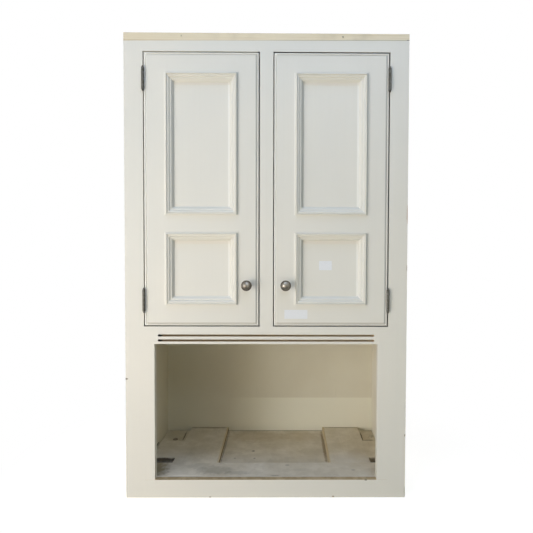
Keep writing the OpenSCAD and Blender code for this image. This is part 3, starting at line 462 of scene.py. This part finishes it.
def dusty_blockboard(name, run, marks, *wear):
    """Unpainted blockboard under years of kitchen dust: grey-brown, dull, with the face veneer's grain.

    Gives a matt surface with drifting dust, darker fibres along the board, grease spots, dust and painted
    shade in its corners, and arrises rubbed pale and partly a painted highlight.
    """
    material, tree, place = start_finish(name)
    drift = cloud(tree, place, 90.0, 4.0, 0.6)
    grain = streaks(tree, place, run, 3.2, 120.0, 4.0)
    mottle = cloud(tree, place, 34.0, 3.0, 0.55)
    grit = cloud(tree, place, 1.8, 5.0, 0.7)
    grease = cloud(tree, place, 24.0, 5.0, 0.65)
    board = layer(tree, "#DED5C3", "#CFC5B0", zone(tree, drift, (0.32, 0.68)))
    board = layer(tree, board, "#B8AB94", zone(tree, grain, (0.45, 0.75)), 0.14)
    board = layer(tree, board, "#B9AE98", zone(tree, mottle, (0.42, 0.62)), 0.28)
    board = layer(tree, board, "#92846D", zone(tree, grit, (0.56, 0.74)), 0.18)
    board = layer(tree, board, "#8F816B", zone(tree, grease, (0.62, 0.72)), 0.2)
    # Dust and painted shade darken the corners; the arrises are rubbed pale and partly a painted highlight
    board = layer(tree, board, "#5E5137", dust_and_shade_in_corners(tree, 14.0), 0.5)
    board = layer(tree, board, "#DDD2B8", rubbed_and_lit_arris(tree, place, 1.5, 0.6), 0.5)
    for lay in (spotted(marks, 0.6, 0.4, 12.0), *wear):
        board = lay(tree, place, board)
    height = add_node(tree, "Mix", {0: 0.5, 2: grain, 3: grit})
    close_finish(tree, {"Base Color": board, "Roughness": 0.85, "IOR": 1.45, "Specular IOR Level": 0.2,
                        "Normal": relief(tree, height, 0.4, 0.6, 1.0)})
    return material


def aged_steel(name):
    """Rolled steel gone dull, for hinges and screws: a dark grey-brown skin of old wax and rust bloom."""
    material, tree, place = start_finish(name)
    bloom = cloud(tree, place, 7.0, 5.0, 0.65)
    skin = layer(tree, "#5B5B57", "#454239", zone(tree, bloom, (0.35, 0.7)))
    skin = layer(tree, skin, "#8F8C85", rubbed_and_lit_arris(tree, place, 0.5, 0.75), 0.3)
    sheen = add_node(tree, "Mix", {0: zone(tree, bloom, (0.3, 0.75)), 2: 0.34, 3: 0.62})
    pits = cloud(tree, place, 0.8, 3.0, 0.6)
    close_finish(tree, {"Base Color": skin, "Metallic": 1.0, "Roughness": sheen,
                        "Normal": relief(tree, pits, 0.06, 0.5)})
    return material


def dusty_steel(name):
    """Pressed steel under floor dust and stray paint, for the base screws and their cup washers.

    Gives dull tan discs that hardly stand out from the board, with dust and painted shade round their rims,
    the left one darker.
    """
    material, tree, place = start_finish(name)
    axes = add_node(tree, "SeparateXYZ", {0: place}).node.outputs
    dust = layer(tree, "#CFC6B2", "#B3A78E", zone(tree, cloud(tree, place, 4.0, 4.0), (0.35, 0.65)))
    # Dust and painted shade round the rims
    dust = layer(tree, dust, "#6E6046", dust_and_shade_in_corners(tree, 5.0), 0.9)
    dust = layer(tree, dust, "#5E4E34", zone(tree, axes["X"], (0.05, -0.05)), 0.75)
    grit = cloud(tree, place, 1.5, 3.0)
    close_finish(tree, {"Base Color": dust, "Roughness": 0.75, "IOR": 1.46,
                        "Normal": relief(tree, grit, 0.1, 0.5)})
    return material


def cast_pewter(name):
    """Cast pewter knobs, turned and left to darken: soft grey under a mottled brown patina, finely pitted.

    Fingers keep the dome bright, and the rim beyond them has gone dark.
    """
    material, tree, place = start_finish(name)
    axes = add_node(tree, "SeparateXYZ", {0: place}).node.outputs
    patina = cloud(tree, place, 9.0, 4.0, 0.6)
    metal = layer(tree, "#938E84", "#777166", zone(tree, patina, (0.35, 0.7)))
    metal = layer(tree, metal, "#3C362B", dust_and_shade_in_corners(tree, 5.0), 0.8)
    aside = add_node(tree, "Math", {0: axes["X"]}, operation="ABSOLUTE")
    off = add_node(tree, "CombineXYZ", {"X": aside, "Y": axes["Z"]})
    off = add_node(tree, "VectorMath", {0: off, 1: (KNOB_X, KNOB_Z, 0.0)}, give="Value", operation="DISTANCE")
    metal = layer(tree, metal, "#453F35", zone(tree, off, (10.0 * MM, 14.5 * MM)), 0.7)
    sheen = add_node(tree, "Mix", {0: zone(tree, patina, (0.3, 0.7)), 2: 0.33, 3: 0.46})
    pits = cloud(tree, place, 1.1, 4.0, 0.6)
    close_finish(tree, {"Base Color": metal, "Metallic": 1.0, "Roughness": sheen,
                        "Normal": relief(tree, pits, 0.05, 0.4)})
    return material


def zinc_plate(name):
    """Bright zinc plating on steel: pale grey with a faint bluish spangle and light scratches."""
    material, tree, place = start_finish(name)
    spangle = add_node(tree, "TexVoronoi", {"Vector": place, "Scale": 1 / (3.0 * MM)}, give="Distance")
    metal = layer(tree, "#C2C4C6", "#A7A9AB", zone(tree, spangle, (0.1, 0.7)))
    scratches = streaks(tree, place, "X", 0.5, 20.0, 3.0)
    sheen = add_node(tree, "Mix", {0: zone(tree, scratches, (0.3, 0.7)), 2: 0.28, 3: 0.45})
    close_finish(tree, {"Base Color": metal, "Metallic": 1.0, "Roughness": sheen})
    return material


def moulded_polystyrene(name):
    """Brown polystyrene, injection moulded, for the catches' cases: even and satin, finely spark textured."""
    material, tree, place = start_finish(name)
    case = layer(tree, "#6E5138", "#63482F", zone(tree, cloud(tree, place, 12.0), (0.3, 0.7)))
    spark = cloud(tree, place, 0.7, 2.0)
    close_finish(tree, {"Base Color": case, "Roughness": 0.45, "IOR": 1.59,
                        "Normal": relief(tree, spark, 0.03, 0.4, 0.3)})
    return material


def label_paper(name):
    """Plain self-adhesive paper, calendered and uncoated: cool white with a faint fibre mottle."""
    material, tree, place = start_finish(name)
    mottle = cloud(tree, place, 1.5, 4.0, 0.6)
    sheet = layer(tree, "#E4E5E4", "#DBDCDB", zone(tree, mottle, (0.4, 0.7)))
    close_finish(tree, {"Base Color": sheet, "Roughness": 0.7, "IOR": 1.5,
                        "Normal": relief(tree, mottle, 0.02, 0.3)})
    return material


def lay_grid(rows, columns, around):
    """Corner numbers of the four-sided faces of a grid of rows x columns points; around closes each row."""
    r = np.arange(rows - 1)[:, None]
    c = np.arange(columns if around else columns - 1)[None, :]
    n = (c + 1) % columns
    faces = np.stack([r * columns + c, r * columns + n, (r + 1) * columns + n, (r + 1) * columns + c], -1)
    return faces.reshape(-1, 4)


def make_piece(name, points, faces, finish, body, crease=35.0):
    """A closed mesh object from arrays of points and faces that rides on a body.

    Six times its volume is the sum of a . (b x c) over its triangles; where that is negative, its faces
    point inwards and are turned round.
    """
    triangles = [points[f[:, :3]] for f in faces]
    triangles += [points[f[:, [0, 2, 3]]] for f in faces if f.shape[1] == 4]
    corners = np.concatenate(triangles)
    volume = np.einsum("ij,ij->i", corners[:, 0], np.cross(corners[:, 1], corners[:, 2])).sum()
    if volume < 0:
        faces = [f[:, ::-1] for f in faces]
    mesh = bpy.data.meshes.new(name)
    mesh.from_pydata(points.tolist(), [], [row for f in faces for row in f.tolist()])
    mesh.validate()
    mesh.polygons.foreach_set("use_smooth", np.ones(len(mesh.polygons), bool))
    mesh.set_sharp_from_angle(angle=math.radians(crease))
    mesh.materials.append(finish)
    piece = bpy.data.objects.new(name, mesh)
    scene.collection.objects.link(piece)
    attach(piece, body)
    return piece


def arc(centre, radius, start, end, steps):
    """Points on a circle: centre + radius (cos a, sin a), a going evenly from start to end in degrees."""
    a = np.radians(np.linspace(start, end, steps + 1))
    return np.stack([centre[0] + radius * np.cos(a), centre[1] + radius * np.sin(a)], 1)


def turned(name, outline, foot, axis, finish, body, around=96):
    """A turned piece: each outline point (radius, height) is carried round the axis from the foot.

    P(i, t) = foot + height_i axis + radius_i (cos t u + sin t v), closed by one point at each pole.
    """
    outline = np.asarray(outline, float)
    axis = np.asarray(axis, float)
    askew = [0.3, 0.9, 0.2]
    u = np.cross(axis, askew)
    u /= np.linalg.norm(u)
    v = np.cross(axis, u)
    t = np.linspace(0, 2 * np.pi, around, endpoint=False)
    ring = np.cos(t)[:, None] * u + np.sin(t)[:, None] * v
    foot = np.asarray(foot, float)
    body_points = foot + outline[1:-1, 1, None, None] * axis + outline[1:-1, 0, None, None] * ring
    rows = len(outline) - 2
    poles = foot + outline[[0, -1], 1, None] * axis
    points = np.concatenate([body_points.reshape(-1, 3), poles])
    quads = lay_grid(rows, around, True)
    c = np.arange(around)
    n = (c + 1) % around
    first = np.stack([np.full(around, rows * around), n, c], 1)
    last_row = (rows - 1) * around
    last = np.stack([np.full(around, rows * around + 1), last_row + c, last_row + n], 1)
    return make_piece(name, points, [quads, np.concatenate([first, last])], finish, body)


def mushroom_knob(side, finish):
    """A turned mushroom knob, in arcs: a rose with a rounded edge, neck, hollow flare, rim and dome.

    The dome is a cap of a sphere of radius (r ^ 2 + h ^ 2) / 2 h, for a cap of radius r and height h.
    """
    head_r, rose_r, neck_r, rim_r = 15.0, 8.5, 5.0, 1.6
    rose_edge_r, fillet_r, crease_r = 1.25, 1.0, 0.25
    reach = (KNOB_HIGH.y - KNOB_LOW.y) / MM
    rim_y = reach * 0.7
    dome_edge_r = head_r - 1.6 * rim_r
    dome_h = reach - rim_y - rim_r * 0.5
    dome_r = (dome_edge_r ** 2 + dome_h ** 2) / (2 * dome_h)
    cove = (head_r - rim_r - neck_r) * 0.9
    edge = math.degrees(math.asin(dome_edge_r / dome_r))
    outline = np.concatenate([
        [[0, 0.0]],
        arc((rose_r - rose_edge_r, rose_edge_r), rose_edge_r, -90, 90, 10),
        arc((neck_r + fillet_r, 2 * rose_edge_r + fillet_r), fillet_r, -90, -180, 5),
        arc((neck_r + cove, rim_y - cove), cove, 180, 90, 18),
        arc((head_r - rim_r, rim_y), rim_r, -90, 90, 16),
        arc((dome_edge_r + 0.2, rim_y + rim_r + crease_r), crease_r, 200, 170, 3),
        arc((0, reach - dome_r), dome_r, 90 - edge, 90, 26),
    ])
    outline = outline[np.r_[True, np.linalg.norm(np.diff(outline, axis=0), axis=1) > 1e-6]]
    outline[-1, 0] = 0.0
    foot = (KNOB_X if side == "right" else -KNOB_X, FACE_Y, KNOB_Z)
    knob = turned(side + "_knob_turned", outline * MM, foot, (0, -1, 0), finish, side + "_door",
                  around=128)
    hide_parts(side + "_door_knob")


def hinge_pins(finish):
    """Four pins, each with a collar, a stem and a round tip at both ends: turned about upright axes."""
    finial, knuckle_r, pin_r, half = 6.0, 4.0, 1.9, 30.0
    foot_edge_r, shoulder_r, collar_h = 0.35, 0.45, finial * 0.2
    low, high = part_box("hinge_pins")
    x = (high.x - low.x) / 2 - knuckle_r * MM
    y = (low.y + high.y) / 2
    leaf_low, leaf_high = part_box("frame_hinge_leaves")
    tip_r = knuckle_r * 0.55
    tip = np.concatenate([
        [[pin_r, half - 0.5]],
        arc((knuckle_r - foot_edge_r, half + foot_edge_r), foot_edge_r, -90, 0, 4),
        arc((knuckle_r - shoulder_r, half + collar_h - shoulder_r), shoulder_r, 0, 90, 5),
        [[tip_r * 0.8, half + collar_h]],
        arc((0, half + finial - tip_r), tip_r, -36.9, 90, 16),
    ])
    tip[-1, 0] = 0.0
    outline = np.concatenate([tip[::-1] * [1, -1], tip])
    for sign, hand in ((-1, "left"), (1, "right")):
        for z, level in ((leaf_low.z + half * MM, "lower"), (leaf_high.z - half * MM, "upper")):
            name = f"{hand}_{level}_hinge_pin"
            turned(name, outline * MM, (sign * x, y, z), (0, 0, 1), finish, "carcass",
                               around=40)
    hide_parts("hinge_pins")


def moulding_section():
    """The panel moulding's closed section in mm: x inwards from its outer edge, y backwards from the face.

    Outwards to inwards: a low lip, a bead, a quirk, a flat, an ovolo, a fillet and a rounded slope down to
    the panel. The arrises are eased and the hollows filled by a few tenths, as coats of paint leave them.
    """
    width, lap = 23.4, 8.0
    panel_set = (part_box("left_door_upper_panel")[0].y - FACE_Y) / MM
    # Each arc has its centre, its radius, its first and last angle in degrees, and its number of steps
    return np.concatenate([
        [[0.0, 0.0]],
        arc((0.3, -2.2), 0.3, 180, 270, 4),
        arc((1.9, -2.9), 0.4, 90, 0, 4),
        arc((3.65, -4.75), 1.35, 180, 360, 20),
        arc((5.25, -2.55), 0.25, 180, 90, 3),
        arc((5.6, -2.6), 0.3, 90, 0, 3),
        arc((6.1, -2.6), 0.2, 180, 270, 3),
        arc((7.5, 2.1), 4.9, -90, -6, 20),
        arc((12.8, 1.7), 0.4, 170, 90, 3),
        arc((-10.06, 31.93), 40.0, -48.2, -33.2, 12),
        [[width, panel_set], [lap, panel_set], [lap, 0.0]],
    ])


def panel_moulding(side, level, finish):
    """The section carried round the panel's opening and mitred: P = corner + x inwards + y backwards."""
    low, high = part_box(f"{side}_door_{level}_moulding")
    section = moulding_section() * MM
    corner_x = np.array([low.x, high.x, high.x, low.x])[:, None]
    corner_z = np.array([low.z, low.z, high.z, high.z])[:, None]
    inward_x = np.array([1, -1, -1, 1])[:, None]
    inward_z = np.array([1, 1, -1, -1])[:, None]
    x = corner_x + inward_x * section[:, 0]
    z = corner_z + inward_z * section[:, 0]
    y = np.broadcast_to(FACE_Y + section[:, 1], x.shape)
    points = np.stack([x, y, z], -1).reshape(-1, 3)
    count = len(section)
    r = np.arange(4)[:, None]
    c = np.arange(count)[None, :]
    s, n = (r + 1) % 4, (c + 1) % count
    faces = np.stack([r * count + c, r * count + n, s * count + n, s * count + c], -1).reshape(-1, 4)
    moulding = make_piece(f"{side}_{level}_moulding_mitred", points, [faces], finish, side + "_door",
                          28.0)
    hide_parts(f"{side}_door_{level}_moulding")


def blank_label(name, x, z, behind, lift, finish):
    """A plain paper label on the right door: a flat sheet whose right lower corner has lifted a little.

    P(s, t) = (x, surface - glue - lift (s (1 - t)) ^ 6, z), in mm and given the paper's thickness; the
    surface that it is stuck to lies behind the doors' face.
    """
    columns, rows = 25, 13
    glue, thickness = 0.02, 0.12
    s, t = np.meshgrid(np.linspace(0, 1, columns), np.linspace(0, 1, rows))
    out = glue - behind + lift * (s * (1 - t)) ** 6
    along, up = x[0] + (x[1] - x[0]) * s, z[0] + (z[1] - z[0]) * t
    low = np.stack([along * MM, FACE_Y - out * MM, up * MM], -1).reshape(-1, 3)
    top = low - [0, thickness * MM, 0]
    count = len(low)
    grid = lay_grid(rows, columns, False)
    index = np.arange(count).reshape(rows, columns)
    rim = np.concatenate([index[0, :], index[1:, -1], index[-1, -2::-1], index[-2:0:-1, 0]])
    after = np.roll(rim, -1)
    sides = np.stack([rim, after, after + count, rim + count], 1)
    make_piece(name, np.concatenate([low, top]), [grid[:, ::-1], grid + count, sides], finish,
               "right_door", 30.0)


def dress(names, finish):
    """Puts one finish on whole CAD pieces."""
    for name in names:
        mesh = nodes[name].data
        mesh.materials.clear()
        mesh.materials.append(finish)


def dress_face_frame():
    """The face frame in brushed cream, with its nicks, its raw sill and painted shade round the doors."""
    brown = "#8C7659"
    left_marks = [((-398.0, FRONT, 344.0), (6.0, 12.0, 3.0), "#6E6250", 0.8)]
    right_marks = [
        ((400.0, FRONT + 1.0, 812.0), (3.2, 9.0, 34.0), "#A98F74", 0.8),
        ((400.0, FRONT + 1.0, 662.0), (2.0, 9.0, 12.0), brown, 0.7),
        ((399.0, FRONT, 181.0), (3.5, 9.0, 4.0), "#5F5A48", 0.75),
        ((399.5, FRONT, 18.0), (3.0, 9.0, 18.0), "#9D9A88", 0.6),
    ]
    sill_marks = [
        ((287.0, FRONT, 51.0), (4.5, 6.0, 2.5), "#77705A", 0.7),
        ((193.0, FRONT, 3.0), (4.0, 6.0, 3.0), brown, 0.7),
        ((-160.0, FRONT, 1.5), (4.0, 6.0, 2.5), brown, 0.7),
    ]
    dress(["left_frame_stile"],
          satin_cream("satin_cream_left_stile", "Z", short_paint, shaded_gaps, spotted(left_marks)))
    dress(["right_frame_stile"],
          satin_cream("satin_cream_right_stile", "Z", short_paint, shaded_gaps, spotted(right_marks)))
    dress(["frame_mullion", "left_bay_infill", "right_bay_infill"],
          satin_cream("satin_cream_upright", "Z", short_paint, shaded_gaps))
    dress(["frame_top_rail"], satin_cream("satin_cream_level", "X", short_paint, shaded_gaps))
    dress(["frame_middle_rail"], satin_cream("satin_cream_vented", "X", vents_bare_and_shaded, shaded_gaps))
    dress(["frame_bottom_rail"],
          satin_cream("satin_cream_bottom_rail", "X", rubbed_sill, spotted(sill_marks)))


def dress_doors(pewter):
    """The doors' members, panels and mouldings in brushed cream, and their knobs.

    Painted highlights lie along the edges that face the window, and painted shade on the mouldings' sides
    away from it.
    """
    pale, sides, levels = "#F3F0E5", ("left", "right"), ("upper", "lower")
    # In mm from the edge that each follows: bead, stile beside a moulding, moulding's slope, panel beside it
    bead, beside, slope, panel_rim = 4.2, 1.8, 21.5, 26.0
    corner = 22.0
    # Painted highlights along the doors' beads that face the window
    stile_highlights = [(x / MM + bead, 4.0, DOORS_LOW.z / MM, DOORS_HIGH.z / MM, pale, 0.6)
                   for x in (DOORS_LOW.x, DOOR_INNER_X)]
    panel_highlights, panel_shadows, moulding_shade_lines = [], [], []
    for side in sides:
        for level in levels:
            low, high = (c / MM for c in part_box(f"{side}_door_{level}_moulding"))
            foot, head = low.z + corner, high.z - corner
            # Painted highlights on the stile and panel beside each moulding, and painted shade on its slope
            # and outer edge
            stile_highlights.append((low.x - beside, 1.3, low.z, high.z, pale, 0.6))
            panel_highlights.append((high.x - panel_rim, 2.6, foot, head, pale, 0.6))
            moulding_shade_lines.append((low.x + slope, 4.5, foot, head, "#8B8C86", 0.36))
            moulding_shade_lines.append((high.x, 4.2, low.z, high.z, "#A3A498", 0.5))
            # A warm painted shadow on the panel under the moulding's top length, where the moulding keeps the
            # sky's light off
            under = ((low.x + high.x) / 2, high.y, high.z - panel_rim)
            panel_shadows.append((under, (190.0, 8.0, 8.0), "#DBCDB8", 0.28))
    upright = satin_cream("satin_cream_door_upright", "Z", shaded_quirks, lit_and_shaded_lines(stile_highlights), shaded_gaps)
    flat = satin_cream("satin_cream_door_panel", "Z", lit_and_shaded_lines(panel_highlights), spotted(panel_shadows))
    across = satin_cream("satin_cream_door_level", "X", shaded_quirks, shaded_gaps)
    moulded = satin_cream("satin_cream_moulding", "Z", lit_and_shaded_lines(moulding_shade_lines),
                          dusty=0.02, arris_mm=0, strength=0.02, grained=0.01)
    for side in sides:
        door = side + "_door_"
        dress([door + part for part in ("hinge_stile", "lock_stile")], upright)
        dress([door + part for part in ("upper_panel", "lower_panel")], flat)
        dress([door + part for part in ("top_rail", "middle_rail", "bottom_rail")], across)
        for level in levels:
            panel_moulding(side, level, moulded)
        mushroom_knob(side, pewter)


def dress_carcass():
    """The carcass's boards in matt lacquer, and its rails and batten in bare pine."""
    # A black painted shade in the corner beside the left block
    wall_shade = [((-370.0, 42.0, BOARDS_TOP + 2.0), (3.0, 23.0, 3.5), "#0E0C08", 0.9)]
    # The left end is painted darker, as painted shade on the bay's left wall
    dress(["left_side_panel"], cabinet_lacquer("lacquered_left_end", "Z", spotted(wall_shade), painted_ends,
                                               tones=("#D2CCB9", "#CDC6B2")))
    dress(["right_side_panel"], cabinet_lacquer("lacquered_right_end", "Z", painted_ends))
    dress(["back_panel"], cabinet_lacquer("lacquered_back", "Z", back_shade_and_ply, tones=("#DFDAC7", "#DAD4C0")))
    dress(["top_panel", "bay_divider", "upper_shelf", "lower_shelf"], cabinet_lacquer("lacquered_board", "X"))
    dress(["cornice_batten"], bare_pine("bare_pine_batten", "X", batten_front))
    dress(["hanging_rail", "middle_back_rail", "lower_back_rail"], bare_pine("bare_pine_rail", "X"))


def dress_packing_boards():
    """The bay's base and the boards packed up on it, each with its smears and stains, and painted shade in
    the slots and gaps.
    """
    smear, shade_brown, blot, speck = "#8A8474", "#3D3426", "#7B715E", "#6F6552"
    against_back = "#6B583C"
    front_marks = [
        ((-205.0, -104.0, BOARDS_TOP), (50.0, 24.0, 8.0), smear, 0.25),
        ((-154.0, -130.0, BOARDS_TOP), (76.0, 30.0, 8.0), smear, 0.48),
        ((-90.0, -146.0, BOARDS_TOP), (48.0, 16.0, 8.0), smear, 0.30),
        ((25.0, -163.0, BOARDS_TOP), (16.0, 5.0, 4.0), blot, 0.45),
        ((61.0, -99.0, BOARDS_TOP), (9.0, 7.0, 5.0), blot, 0.35),
        ((259.0, -130.0, BOARDS_TOP), (9.0, 7.0, 5.0), blot, 0.35),
        ((103.0, -128.0, BOARDS_TOP), (42.0, 11.0, 5.0), smear, 0.14),
        ((-345.0, -125.0, BOARDS_TOP), (64.0, 70.0, 8.0), "#83744F", 0.75),
        ((-240.0, -162.0, BOARDS_TOP), (62.0, 5.0, 4.0), "#F3EBD8", 0.60),
    ]
    base_marks = [
        ((-328.0, 146.0, BASE_TOP), (70.0, 80.0, 8.0), "#A89C76", 0.35),
        # Painted shadow lines along the edges round the notches
        ((-299.5, 142.0, BASE_TOP), (3.5, 52.0, 6.0), shade_brown, 0.65),
        ((325.5, 142.0, BASE_TOP), (3.0, 52.0, 6.0), "#4A3F2C", 0.80),
        ((346.0, 107.0, BASE_TOP), (24.0, 5.0, 6.0), "#5A4E3A", 0.65),
        # Painted shade in the slots by the blocks
        ((-325.0, -62.0, BASE_TOP), (50.0, 28.0, 8.0), shade_brown, 0.74),
        ((345.0, -62.0, BASE_TOP), (34.0, 28.0, 8.0), shade_brown, 0.88),
        ((-50.0, 23.0, BASE_TOP), (7.0, 6.0, 4.0), speck, 0.75),
        ((-43.0, -29.0, BASE_TOP), (5.0, 5.0, 4.0), speck, 0.50),
        ((-105.0, -28.0, BASE_TOP), (5.0, 5.0, 4.0), speck, 0.40),
        ((-50.0, 142.0, BASE_TOP), (130.0, 60.0, 8.0), "#A88F62", 0.28),
        ((105.0, 140.0, BASE_TOP), (90.0, 60.0, 8.0), "#B39C70", 0.25),
        # Painted shade at the back board's foot and beside the boards' inner edges
        ((20.0, 188.0, BASE_TOP), (420.0, 4.0, 3.0), "#5C4E38", 0.60),
        ((-146.5, 54.0, BASE_TOP), (3.0, 170.0, 4.0), "#4A3D28", 0.40),
        ((185.5, 54.0, BASE_TOP), (7.0, 175.0, 6.0), "#7A6543", 0.60),
    ]
    block_shade = [
        # All painted shade: black in the notch's corner, darker on the blocks' faces in the slots
        ((-371.0, 42.0, BOARDS_TOP), (6.0, 24.0, 6.0), "#0E0C08", 0.95),
        ((-330.0, -49.0, BASE_TOP + 5.0), (66.0, 3.0, 9.0), "#594D38", 0.85),
        ((345.0, -49.0, BASE_TOP + 5.0), (40.0, 3.0, 9.0), "#8A795A", 0.50),
    ]
    left_marks = [((-220.0, 187.0, BOARDS_TOP), (100.0, 9.0, 4.0), against_back, 0.60)]
    right_marks = [
        ((254.0, 187.0, BOARDS_TOP), (90.0, 8.0, 4.0), against_back, 0.50),
        ((260.0, -55.0, BOARDS_TOP), (90.0, 60.0, 8.0), "#D3CEC6", 0.25),
    ]
    left_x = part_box("platform_left_board")[1].x
    right_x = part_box("platform_right_board")[0].x
    dress(["platform_front_board"], dusty_blockboard("dusty_blockboard_front", "X", front_marks))
    dress(["base_panel"], dusty_blockboard("dusty_blockboard_base", "X", base_marks))
    dress(["platform_left_board"],
          dusty_blockboard("dusty_blockboard_left", "Y", left_marks, rubbed_and_lit_edge(left_x), shaded_cut(left_x)))
    dress(["platform_right_board"],
          dusty_blockboard("dusty_blockboard_right", "Y", right_marks, rubbed_and_lit_edge(right_x)))
    dress(["platform_left_block", "platform_right_block"],
          dusty_blockboard("dusty_blockboard_block", "Y", block_shade))


def dress_fittings(steel):
    """Hinges and screws in steel, strikes and shelf pins in zinc, the catches, and the dusty base screws."""
    dress([n for n in nodes if n.endswith(("screws", "knob_screw", "hinge_leaves", "hinge_pins"))], steel)
    dress(["base_screws"], dusty_steel("dusty_steel"))
    dress([n for n in nodes if n.endswith(("strike", "shelf_pins"))], zinc_plate("zinc_plate"))
    dress(["door_catches"], moulded_polystyrene("moulded_polystyrene"))


def stick_labels():
    """Two blank labels on the right door: a small one on its lower panel, a wide one on its bottom rail."""
    paper = label_paper("label_paper")
    panel_set = (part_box("right_door_lower_panel")[0].y - FACE_Y) / MM
    blank_label("small_blank_label", (150.0, 186.5), (654.5, 680.8), panel_set, 0.8, paper)
    blank_label("wide_blank_label", (51.5, 117.0), (516.5, 542.2), 0.0, 0.6, paper)


def lamp(name, place, target, width, height, power, colour):
    """A soft rectangular lamp that points at the target and isn't seen itself."""
    light = bpy.data.lights.new(name, "AREA")
    light.shape = "RECTANGLE"
    light.size = width
    light.size_y = height
    light.energy = power
    light.color = linear(colour)[:3]
    back = np.array(place, float) - np.array(target, float)
    back /= np.linalg.norm(back)
    side = np.cross([0.0, 0.0, 1.0], back)
    side /= np.linalg.norm(side)
    lit = bpy.data.objects.new(name, light)
    lit.visible_camera = False
    stand(lit, place, side, np.cross(back, side), back)


def white_surround():
    """A surround that is seen as white, also in metal and glass, and lights nothing."""
    world = bpy.data.worlds.new("surround")
    scene.world = world
    world.use_nodes = True
    tree = world.node_tree
    tree.nodes.clear()
    ray = add_node(tree, "LightPath").node.outputs
    seen = add_node(tree, "Math", {0: ray["Is Camera Ray"], 1: ray["Is Glossy Ray"]}, operation="MAXIMUM")
    seen = add_node(tree, "Math", {0: seen, 1: ray["Is Transmission Ray"]}, operation="MAXIMUM")
    dark = add_node(tree, "Background", {"Strength": 0.0})
    white = add_node(tree, "Background", {"Color": (1.0, 1.0, 1.0, 1.0), "Strength": 1.0})
    add_node(tree, "OutputWorld", {"Surface": add_node(tree, "MixShader", {0: seen, 1: dark, 2: white})})


def pale_floor():
    """A matt pale floor; to the camera's eye it fades into the white half a metre from the cabinet."""
    span, white = 5.0, (1.0, 1.0, 1.0, 1.0)
    corners = [(-span, -span, 0), (span, -span, 0), (span, span, 0), (-span, span, 0)]
    mesh = bpy.data.meshes.new("studio_floor")
    mesh.from_pydata(corners, [], [(0, 1, 2, 3)])
    floor = bpy.data.objects.new("studio_floor", mesh)
    scene.collection.objects.link(floor)
    material, tree, place = start_finish("pale_floor")
    camera_ray = add_node(tree, "LightPath", give="Is Camera Ray")
    paint = layer(tree, "#E8E2D6", "#E6E0D3", zone(tree, cloud(tree, place, 30.0), (0.3, 0.7)))
    matt = add_node(tree, "BsdfDiffuse", {"Color": paint})
    glow = add_node(tree, "Emission", {"Color": white, "Strength": 0.7})
    near = add_node(tree, "AddShader", {0: matt, 1: glow})
    far = add_node(tree, "Emission", {"Color": white, "Strength": 1.0})
    away = add_node(tree, "VectorMath", {0: place}, give="Value", operation="LENGTH")
    seen = add_node(tree, "MixShader", {0: zone(tree, away, (0.45, 0.85)), 1: near, 2: far})
    either = add_node(tree, "MixShader", {0: camera_ray, 1: matt, 2: seen})
    add_node(tree, "OutputMaterial", {"Surface": either})
    mesh.materials.append(material)


def soft_lamps():
    """A window's light from the left in a warm and a cool half, sky above, a yard's glow below, and fill."""
    middle, high, behind = (0.0, -0.15, 0.6), (0.0, -0.2, 0.8), (0.0, 0.2, 0.6)
    lamp("window_near", (-1.724, -1.815, 0.60), middle, 1.4, 1.2, 18.0, "#FFFEEA")
    lamp("window_far", (-1.939, -1.559, 0.60), middle, 1.4, 1.2, 20.7, "#E4E9FF")
    lamp("front_panel", (0.672, -1.997, 1.977), middle, 1.2, 1.0, 12.0, "#DFEEFF")
    lamp("yard_left", (-0.9, -1.3, 0.03), high, 1.4, 0.8, 8.5, "#FFE0C4")
    lamp("yard_right", (0.8, -1.3, 0.03), high, 1.4, 0.8, 4.9, "#FFF9D8")
    lamp("sky_left", (-0.5, -0.95, 2.9), high, 1.0, 0.5, 12.8, "#C7DDFF")
    lamp("sky_right", (0.5, -1.2, 2.8), high, 1.0, 0.6, 9.0, "#A9C8FF")
    lamp("back_panel_light", (0.6, 2.4, 1.9), behind, 1.8, 1.4, 30.0, "#FFFFFF")


photo_camera()
dress_face_frame()
dress_doors(cast_pewter("cast_pewter"))
dress_carcass()
dress_packing_boards()
old_steel = aged_steel("aged_steel")
dress_fittings(old_steel)
stick_labels()
hinge_pins(old_steel)
white_surround()
pale_floor()
soft_lamps()
